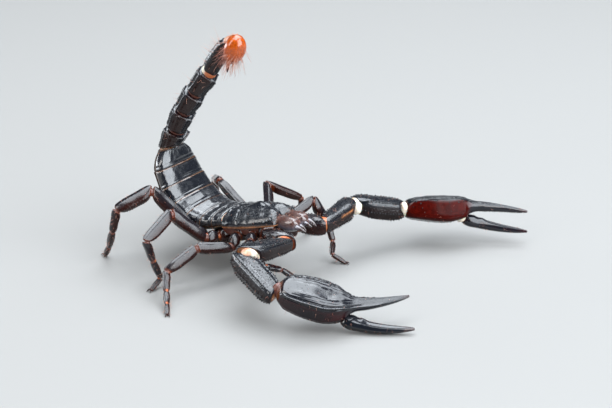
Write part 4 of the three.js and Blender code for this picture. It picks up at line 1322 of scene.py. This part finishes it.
def handPath(joints, ahead, fixedTip, roof):
    # straight from the wrist over the palm, then blended into a curve to the fixed finger's tip
    corners = [joints[4] + onward * ahead + rise * roof for onward, rise in hands["curve"]]
    bezier = np.array([*corners, fixedTip])
    fine = curvePoints(bezier, np.linspace(0, 1, 200))
    curveLength = np.linalg.norm(np.diff(fine, axis=0), axis=1).sum()
    palm = hands["palm"]
    total = palm + curveLength
    run = spread(230, 0.35) * total
    straight = joints[3] + (run[:, None] - 0.5) * ahead
    curved = alongCurve(bezier, np.clip((run - palm) / curveLength, 0, 1))
    share = smooth(10.5, 16.5, run)[:, None]
    fingerRows = [[palm + at * curveLength, *sizes] for at, *sizes in hands["fingerRows"]]
    return run, total, straight * (1 - share) + curved * share, hands["palmRows"] + fingerRows


def handRelief(run, angles, edge, palm):
    # keels with a scalloped edge, faint wrinkles and fine ridges along the top
    push = np.zeros((len(run), len(angles)))
    for angle, height, width, near, far in hands["keels"]:
        fade = smooth(near, near + 1.5, run) * (1 - smooth(far - 1.5, far + 1.5, run))
        wave = 1 - 0.2 * (height > 0.2) * np.abs(np.cos(run * 3.1))
        push += (height * fade * wave)[:, None] * bell(turnGap(angles, edge * angle), 0, width)[None, :]
    ripple = 1.6 * np.sin(run * 0.8) + 0.9 * np.sin(run * 1.9)
    wrinkles = np.sin(np.degrees(angles)[None, :] * 0.55 + ripple[:, None])
    push += 0.008 * wrinkles * palm * np.clip(np.cos(angles), -0.2, 1)[None, :]
    waver = 2 * np.sin(run * 0.35) + 0.5 * np.sin(run * 1.7)
    lines = np.cos(hands["lines"] * angles[None, :] + waver[:, None])
    return push + 0.014 * lines * np.clip(np.cos(angles), 0, 1)[None, :] * smooth(1, 4, run)[:, None]


def handFlow(run, angles):
    # long cells so that the grain runs along the hand
    along = run[:, None] * 0.32 + 0 * angles[None, :]
    return np.stack([along, 4 * np.sin(angles)[None, :] + 0 * along,
                     4 * np.cos(angles)[None, :] + 0 * along], axis=-1)


def handParts(side, joints, ahead, fixedTip, roof, lateral):
    # one skin from the wrist over the palm into the fixed finger; edge is the sign of the angle
    # on the side of the moving finger
    edge = -side
    run, total, path, rows = handPath(joints, ahead, fixedTip, roof)
    angles = ringAngles(240)
    palm = 1 - smooth(14, 18, run)[:, None]
    square = 2.2 + 2.2 * palm * smooth(0.5, 3, run)[:, None]
    grid = tubeSurface(path, lateral, profile(rows, run), angles, square,
                       handRelief(run, angles, edge, palm), roundEnds(run / total, 0.035, 0.01))
    off = edge * turnGap(angles, edge * 10)
    # flank is the palm's own dark red on its inner face, weaker on the outer side; its wide fade to black
    # towards the top of the inner face is painted shade along that edge
    flank = np.where(off < 0, smooth(68, 94, -off), 0.45 * smooth(46, 66, off))
    flank = flank[None, :] * (1 - 0.8 * smooth(14.5, 18, run))[:, None]
    crest = bell(turnGap(angles, -edge * 52), 0, 15)[None, :] * smooth(1.0, 2.5, run)[:, None]
    crest = crest * (1 - smooth(16, 26, run))[:, None]
    parts = [closedPart(grid, flow=handFlow(run, angles), under=flank,
                        joint=(1 - smooth(0, 1.0, run))[:, None], grain=0.3 * palm + 0.2 + 2.2 * crest,
                        tip=0.5 * smooth(total - 3, total, run)[:, None])]
    ridgeGap = np.minimum(np.abs(turnGap(angles, edge * 48)), np.abs(turnGap(angles, -edge * 46)))
    weight = palm * smooth(1, 2.5, run)[:, None] * (0.25 + smooth(-0.2, 0.8, np.cos(angles)))[None, :]
    weight = weight * (0.12 + bell(ridgeGap, 0, 16))[None, :]
    parts.append(grainsOn(grid, weight, hands["grains"], (0.06, 0.08), (0.05, 0.08)))
    parts.append(grainsOn(grid, crest, hands["crestGrains"], (0.12, 0.12), (0.1, 0.1), power=1))
    parts.append(beadRow(grid, edge * hands["toothAngle"], 0.42, 0.17, 0.16, 18.0 / total, 0.96, tip=0.4))
    for angle in (48, -46):
        parts.append(beadRow(grid, edge * angle, 0.55, 0.15, 0.13, 0.06, 0.55))
    return parts, grid


fingers = {
    "root": (-1.2, -1.6, 1.7),  # ahead of the palm's end, above it and outwards
    "bend": (0.4, 2.2, -0.7),  # share of the way to the tip, outwards and above
    "rows": [[0, 0.9, 0.9, 0.9], [0.08, 1.5, 1.4, 1.4], [0.3, 1.35, 1.25, 1.35], [0.6, 1.05, 0.9, 1.1],
             [0.85, 0.65, 0.6, 0.7], [1, 0.28, 0.28, 0.28]],
    "toothAngle": -35,
}


def fingerParts(side, root, bend, tip, lateral):
    # a tapering section along a curve, with two keels outside and two lobes on its cutting edge
    edge = -side
    t, angles = spread(130, 0.3), ringAngles(84)
    lobe = 0.32 * bell(t, 0.3, 0.05) + 0.16 * bell(t, 0.17, 0.04)
    push = 0.12 * bell(turnGap(angles, edge * 70), 0, 9)[None, :] * (1 - smooth(0.6, 0.95, t))[:, None]
    push = push + 0.10 * bell(turnGap(angles, edge * 125), 0, 9)[None, :] * bell(t, 0.35, 0.3)[:, None]
    push = push + lobe[:, None] * bell(turnGap(angles, edge * fingers["toothAngle"]), 0, 28)[None, :]
    grid = tubeSurface(alongCurve(np.array([root, bend, tip]), t), lateral, profile(fingers["rows"], t),
                       angles, 2.3, push, roundEnds(t, 0.07, 0.012))
    skin = closedPart(grid, under=0.24 * underField(angles, 50, 100), grain=0.3,
                      joint=0.8 * (1 - smooth(0, 0.07, t))[:, None],
                      tip=0.5 * smooth(0.8, 1, t)[:, None])
    teeth = beadRow(grid, edge * fingers["toothAngle"], 0.42, 0.16, 0.16, 0.12, 0.96, tip=0.4)
    return [skin, teeth], grid


armSkins, armThinSkins, armGrids = [], [], {}
for sideName, arm in arms.items():
    side, title = sides[sideName], sideName.title()
    headings = [heading(yaw, pitch, side) for yaw, pitch in zip(arm["yaw"], arm["pitch"])]
    joints = chain(rootOf(arm["root"], side), armBuild["lengths"], headings)
    before = [unit(coxaHeading(side, armBuild["lead"])), *headings]
    normals = jointNormals(headings, before[0], headings[3])
    bends = [unit(after - ahead) for ahead, after in zip(before[:-1], before[1:])]
    for k, (name, kind) in enumerate(armPlates.items()):
        span = [joints[k], joints[k + 1], normals[k], normals[k + 1], np.cross(headings[k], up)]
        elbowOut, elbowDrop = arm["elbow"] if name == "patella" else (0.0, 0.0)
        openings = [("start", bends[k], arm["opening"][k]), ("end", bends[k + 1], arm["opening"][k + 1])]
        node = f"arm_{sideName}_{name}"
        parts, armGrids[node] = armParts(kind, span, elbowDrop, -side * elbowOut, openings,
                                         arm["stripe"] if name == "femur" else 0.0)
        addPiece(f"arm{title}{name.title()}", parts, finishes[kind["finish"]], [node])
    ahead = headings[3]
    outward = unit(np.cross(up, ahead) * side)
    roll = np.radians(armBuild["roll"])
    roof = up * np.cos(roll) + outward * np.sin(roll)
    lateral = unit(np.cross(ahead, roof))
    fixedTip = joints[4] + armBuild["fixedLength"] * heading(*arm["fixed"], side)
    node = f"arm_{sideName}_hand"
    parts, armGrids[node] = handParts(side, joints, ahead, fixedTip, roof, lateral)
    addPiece(f"arm{title}Hand", parts, finishes["armour"], [node])
    outer = -side * lateral
    onward, rise, out = fingers["root"]
    root = joints[4] + onward * ahead + rise * roof + out * outer
    tip = root + armBuild["movingLength"] * heading(*arm["moving"], side)
    share, out, rise = fingers["bend"]
    bend = root + share * (tip - root) + out * outer + rise * roof
    node = f"arm_{sideName}_finger"
    parts, armGrids[node] = fingerParts(side, root, bend, tip, lateral)
    addPiece(f"arm{title}Finger", parts, finishes["armour"], [node])
    for k, (size, reach, bulge, tint) in enumerate(arm["skin"]):
        found = armThinSkins if tint > 0.85 else armSkins
        found.append(hinge(joints[k], before[k], headings[k], np.cross(headings[k], up), size, reach,
                           bulge, tint))
    along = unit(tip - root)
    armSkins.append(ball(root - 0.3 * along - 0.6 * outer, 1.25, along, 1.1, under=0.1))  # finger's hinge
addPiece("armSkins", armSkins, finishes["membrane"])
addPiece("armThinSkins", armThinSkins, finishes["thinSkin"])
print("arms made")


# The legs

# For each segment: the node it belongs to, how many rings it has and the girth of the skin before it,
# then a place along it with its half width, height and depth there, as shares of the leg's half width.
legSegments = {
    "trochanter": {"node": "femur", "rings": 44, "skin": 0.7, "shares": [
        [0, 0.85, 0.85, 0.85], [0.45, 1.05, 1.3, 1.2], [0.85, 0.9, 1.05, 1.0], [1, 0.72, 0.78, 0.78]]},
    "femur": {"node": "femur", "rings": 72, "skin": 0.66, "keeled": True, "shares": [
        [0, 0.72, 0.78, 0.8], [0.1, 0.85, 0.95, 1.0], [0.5, 0.9, 1.12, 1.12], [0.9, 0.87, 1.08, 1.02],
        [1, 0.72, 0.85, 0.8]]},
    "patella": {"node": "patella", "rings": 72, "skin": 0.66, "keeled": True, "shares": [
        [0, 0.72, 0.85, 0.82], [0.08, 0.85, 1.05, 1.0], [0.45, 0.9, 1.15, 1.12], [0.9, 0.74, 0.93, 0.9],
        [1, 0.6, 0.72, 0.7]]},
    "tibia": {"node": "foot", "rings": 52, "skin": 0.52, "shares": [
        [0, 0.55, 0.66, 0.64], [0.1, 0.62, 0.78, 0.75], [0.5, 0.58, 0.72, 0.7], [0.92, 0.52, 0.64, 0.62],
        [1, 0.46, 0.54, 0.54]]},
    "basitarsus": {"node": "foot", "rings": 44, "skin": 0.4, "shares": [
        [0, 0.44, 0.5, 0.5], [0.1, 0.5, 0.58, 0.56], [0.9, 0.44, 0.5, 0.5], [1, 0.38, 0.44, 0.44]]},
    "tarsus": {"node": "foot", "rings": 44, "skin": 0.34, "shares": [
        [0, 0.38, 0.44, 0.44], [0.12, 0.42, 0.48, 0.48], [0.85, 0.35, 0.38, 0.42],
        [1, 0.28, 0.28, 0.36]]},
}
legRoll = np.radians(30)  # how far the legs' keels lean outwards
tarsusTip = legSegments["tarsus"]["shares"][-1][3]  # depth of the foot's tip


def fallToFloor(ankleHeight, length, tipDepth):
    # the pitch at which the underside of the last segment's tip meets the floor
    fall = 0.0
    for _ in range(8):
        fall = np.arcsin((ankleHeight - tipDepth * np.cos(fall) + 0.08) / (length - 0.15))
    return np.degrees(fall)


def legPlate(name, span, half):
    # one segment: a squarish section, with four low keels on the femur and patella
    segment = legSegments[name]
    rows = sharesOf(segment["shares"], half)
    keels = [{"angle": angle, "width": 8, "height": 0.1 * half, "beads": 12, "waviness": waviness}
             for angle, waviness in ((150, 0.7), (-150, 0.7), (28, 0.1), (-28, 0.1))]
    part, grid = plate(span, rows, keels if "keeled" in segment else (), 3.0, segment["rings"], 56,
                       grain=0.25, jointTint=0.07, under=underField(ringAngles(56), 55, 125))
    part["vertices"][:, 2] = np.maximum(part["vertices"][:, 2], 0.0)
    return part, grid


def footClaws(tip, ahead, half):
    # two small hooks whose girth is g (1 - t^1.5)^0.7, curving from the foot's tip to the floor
    across = unit(np.cross(ahead, up))
    t = np.linspace(0, 1, 14)
    found = []
    for turn in (-1, 1):
        root = tip - 0.25 * ahead + turn * 0.14 * half * across + 0.12 * half * up
        end = root + half * (0.85 * unit(ahead * np.array([1, 1, 0])) + turn * 0.3 * across)
        end[2] = 0.07
        crest = (root + end) / 2 + 0.34 * half * up
        girth = 0.17 * half * (1 - t**1.5) ** 0.7 + 0.02
        claw = tubeSurface(curvePoints(np.array([root, crest, end]), t), across, roundSizes(girth),
                           ringAngles(14), 2.0, 0.0, roundEnds(t, 0.1, 0.05))
        claw[..., 2] = np.maximum(claw[..., 2], 0.0)
        found.append(closedPart(claw, under=0.9, tip=0.3))
    return found


legSkins, legGrids = [], []
for (number, sideName), (yaw, pitch) in stance.items():
    leg, side = legs[number - 1], sides[sideName]
    half, lengths = leg["half"], leg["lengths"]
    start = rootOf(leg["hip"], side)
    headings = [heading(turn, rise, side) for turn, rise in zip(yaw[:5], pitch)]
    ankle = chain(start, lengths[:5], headings)[5]
    headings.append(heading(yaw[5], -fallToFloor(ankle[2], lengths[5], tarsusTip * half), side))
    joints = chain(start, lengths, headings)
    before = [unit(coxaHeading(side, leg["lead"])), *headings]
    normals = jointNormals(headings, before[0], headings[5])
    lateral = np.cross(heading(yaw[1], 0, side), up) * np.cos(legRoll) + side * up * np.sin(legRoll)
    parts = {"femur": [], "patella": [], "foot": []}
    for k, (name, segment) in enumerate(legSegments.items()):
        part, grid = legPlate(name, [joints[k], joints[k + 1], normals[k], normals[k + 1], lateral], half)
        parts[segment["node"]].append(part)
        legGrids.append(grid)
        legSkins.append(hinge(joints[k], before[k], headings[k], lateral, segment["skin"] * half,
                              0.8 * half, 0.16 * half, 0.9))
    parts["foot"] += footClaws(joints[6], headings[5], half)
    for node, found in parts.items():
        addPiece(f"leg{number}{sideName.title()}{node.title()}", found, finishes["legShell"],
                 [f"leg_{number}_{sideName}_{node}"])
addPiece("legSkins", legSkins, finishes["thinSkin"])
print("legs made")


# Hairs

# For each kind: how many hairs a surface has and how long they are, one for each of its segments,
# their thickness, their droop under their weight, slant along the limb and stray from the normal.
hairs = {
    "tail": {"counts": (9, 11, 13, 18, 64), "lengths": (1.4, 1.5, 1.7, 2.0, 2.4),
             "thickness": 0.034, "droop": 0.05, "slant": 0.2, "stray": 0.3},
    "bulb": {"counts": [150], "lengths": [2.8], "thickness": 0.042, "droop": 0.25, "slant": -0.7,
             "stray": 0.25},
    "bulbDown": {"counts": [80], "lengths": [0.9], "thickness": 0.024, "droop": 0.1, "slant": -0.2,
                 "stray": 0.3},
    "needle": {"counts": [34], "lengths": [1.8], "thickness": 0.042, "droop": 0.1, "slant": 0.5,
               "stray": 0.3},
    "arm": {"counts": (50, 60), "lengths": (0.8, 0.7), "thickness": 0.03, "droop": 0.1, "slant": 0.5,
            "stray": 0.4},
    "leg": {"counts": (6, 16, 22, 26, 26, 30), "lengths": [0.85] * 6, "thickness": 0.03, "droop": 0.1,
            "slant": 0.6, "stray": 0.35},
    "jaw": {"counts": [46], "lengths": [0.8], "thickness": 0.03, "droop": 0.3, "slant": 0.9,
            "stray": 0.3},
    "brow": {"counts": [60], "lengths": [0.7], "thickness": 0.03, "droop": 0.1, "slant": 0.8,
             "stray": 0.3},
}


def bristles(grid, weight, tile, kind, segment=0):
    # tapered hairs P(s) = root + L (s direction + s^2 bow), three-sided and closed at both ends;
    # each is a small patch of the map OFBake, at its root's place on its grid's tile of 8 by 8
    style = hairs[kind]
    count, length = style["counts"][segment], style["lengths"][segment]
    roots, normals, i, j = scatter(grid, weight, count)
    along = unit(np.gradient(grid, axis=0))[i.astype(int), j.astype(int) % grid.shape[1]]
    stray = style["stray"] * random.normal(size=(count, 3))
    direction = unit(normals + style["slant"] * along + stray)
    size = length * (0.6 + 0.8 * random.random(count))
    s = np.linspace(0, 1, 6)
    bow = -style["droop"] * up + 0.15 * random.normal(size=(count, 3))
    lift = s[None, :, None] * direction[:, None] + s[None, :, None] ** 2 * bow[:, None]
    path = roots[:, None] - 0.05 * direction[:, None] + size[:, None, None] * lift
    path[..., 2] = np.maximum(path[..., 2], 0.12)
    across = unit(np.cross(direction, np.array([0.37, 0.61, 0.70])))
    other = np.cross(direction, across)
    turn = ringAngles(3)[None, :, None]
    ring = np.cos(turn) * across[:, None] + np.sin(turn) * other[:, None]
    girth = style["thickness"] * (1 - 0.8 * s[:-1])
    body = path[:, :-1, None] + girth[None, :, None, None] * ring[:, None]
    vertices = np.concatenate([body.reshape(count, 15, 3), path[:, -1:]], axis=1).reshape(-1, 3)
    walls = np.array([[3 * r + k, 3 * r + (k + 1) % 3, 3 * r + 3 + (k + 1) % 3, 3 * r + 3 + k]
                      for r in range(4) for k in range(3)])
    ends = np.array([[12, 13, 15], [13, 14, 15], [14, 12, 15], [0, 2, 1]])
    offset = (np.arange(count) * 16)[:, None, None]
    faces = [(one[None] + offset).reshape(-1, one.shape[1]) for one in (walls, ends)]
    across = np.append(np.tile([0.0, 0.5, 1.0], 5), 0.0)
    patch = 0.0028 * (np.stack([across, np.append(np.repeat(s[:-1], 3), 1.0)], axis=-1) - 0.5)
    place = np.stack([(tile[0] + 0.06 + 0.88 * j / grid.shape[1]) / 8,
                      (tile[1] + 0.06 + 0.88 * i / grid.shape[0]) / 8], axis=-1)
    return partOf(vertices, faces, flow=vertices, root=(place[:, None] + patch[None]).reshape(-1, 2))


tufts = []
for k, grid in enumerate(tailGrids):
    rearward = 0.3 + smooth(0.2, 0.9, np.linspace(0, 1, len(grid)))[:, None]
    tufts.append(bristles(grid, rearward, (k, 0), "tail", k))
lowness = 0.15 + smooth(0.3, -0.9, bulbRun)[:, None]
tufts.append(bristles(bulbGrid, lowness**2, (5, 0), "bulb"))
tufts.append(bristles(bulbGrid, 1.0, (5, 0), "bulbDown"))
tufts.append(bristles(needleGrid, 1 - needleRun[:, None], (6, 0), "needle"))
addPiece("tailHair", tufts, finishes["hair"])

tufts = [bristles(grid, 1.0, (k % 8, 1 + k // 8), "arm", int(name.endswith(("hand", "finger"))))
         for k, (name, grid) in enumerate(armGrids.items())]
addPiece("armHair", tufts, finishes["hair"])
tufts = [bristles(grid, 1.0, (k % 8, 3 + k // 12), "leg", k % len(legSegments))
         for k, grid in enumerate(legGrids)]
addPiece("legHair", tufts, finishes["hair"])

jawUnder = underField(ringAngles(64), 110, 150)
tufts = [bristles(grid, jawUnder, (k, 7), "jaw") for k, grid in enumerate(jawGrids)]
tufts.append(bristles(fore, smooth(13.8, 15.2, foreAlong) * foreTop + 0.02, (2, 7), "brow"))
addPiece("bodyHair", tufts, finishes["hair"])
print("hair made")


# Floor, lights and camera

view = {
    "lens": 100,
    "target": [-6.71, 41.63, 0.0],  # in the animal's own millimetres
    "turn": 34,  # degrees round from the animal's right
    "rise": 22,
    "away": 0.460,
}
floorFinish = {"Base Color": (0.21, 0.207, 0.20, 1), "Roughness": 0.75}
coolWhite, warmWhite = (0.88, 0.94, 1.0), (1.0, 0.98, 0.96)
lights = {  # place and size in metres, power in watts and colour of each soft box
    "overhead": {"place": (-0.05, 0.0, 0.75), "size": (0.70, 0.5), "power": 10.0, "color": coolWhite},
    "overBack": {"place": (-0.06, 0.45, 0.64), "size": (0.72, 0.38), "power": 5.4, "color": coolWhite},
    "frontHigh": {"place": (0.55, 0.0, 0.65), "size": (0.75, 0.46), "power": 8.6, "color": coolWhite},
    "front": {"place": (0.845, 0.0, 0.30), "size": (0.95, 0.46), "power": 11.5, "color": coolWhite},
    "frontStrip": {"place": (0.60, -0.39, 0.38), "size": (0.06, 0.45), "power": 0.9, "color": warmWhite},
    "leftBank": {"place": (-0.25, -0.56, 0.40), "size": (0.20, 0.55), "power": 2.7, "color": warmWhite},
    "rim": {"place": (-0.72, -0.20, 0.105), "size": (0.7, 0.2), "power": 4.2, "color": coolWhite},
}

bpy.ops.object.camera_add()
camera = bpy.context.object
camera.data.lens = view["lens"]
camera.data.sensor_width = 36
turn, rise = np.radians(view["turn"]), np.radians(view["rise"])
backward = np.array([np.sin(turn) * np.cos(rise), -np.cos(turn) * np.cos(rise), np.sin(rise)])
camera.location = placeInFrame(np.array(view["target"])) + view["away"] * backward
camera.rotation_euler = (np.pi / 2 - rise, 0, turn)
bpy.context.scene.camera = camera
bpy.context.scene.view_settings.view_transform = "Standard"

bpy.ops.mesh.primitive_plane_add(size=6)
floor = bpy.context.object
floor.name = "floor"
floor.data.materials.append(newMaterial("floor", floorFinish)[0])

for name, light in lights.items():
    data = bpy.data.lights.new(name, "AREA")
    data.shape = "RECTANGLE"
    data.size, data.size_y = light["size"]
    data.energy, data.color = light["power"], light["color"]
    lamp = bpy.data.objects.new(name, data)
    bpy.context.scene.collection.objects.link(lamp)
    x, y, z = light["place"]
    lamp.location = light["place"]
    lamp.rotation_euler = (np.arctan2(np.hypot(x, y), z), 0, np.arctan2(x, -y))  # faces the origin
world = bpy.data.worlds.new("world")
world.use_nodes = True
sky = world.node_tree.nodes["Background"]
sky.inputs["Color"].default_value = (0.80, 0.85, 0.92, 1)
sky.inputs["Strength"].default_value = 0.12
bpy.context.scene.world = world
print("lights and camera set")
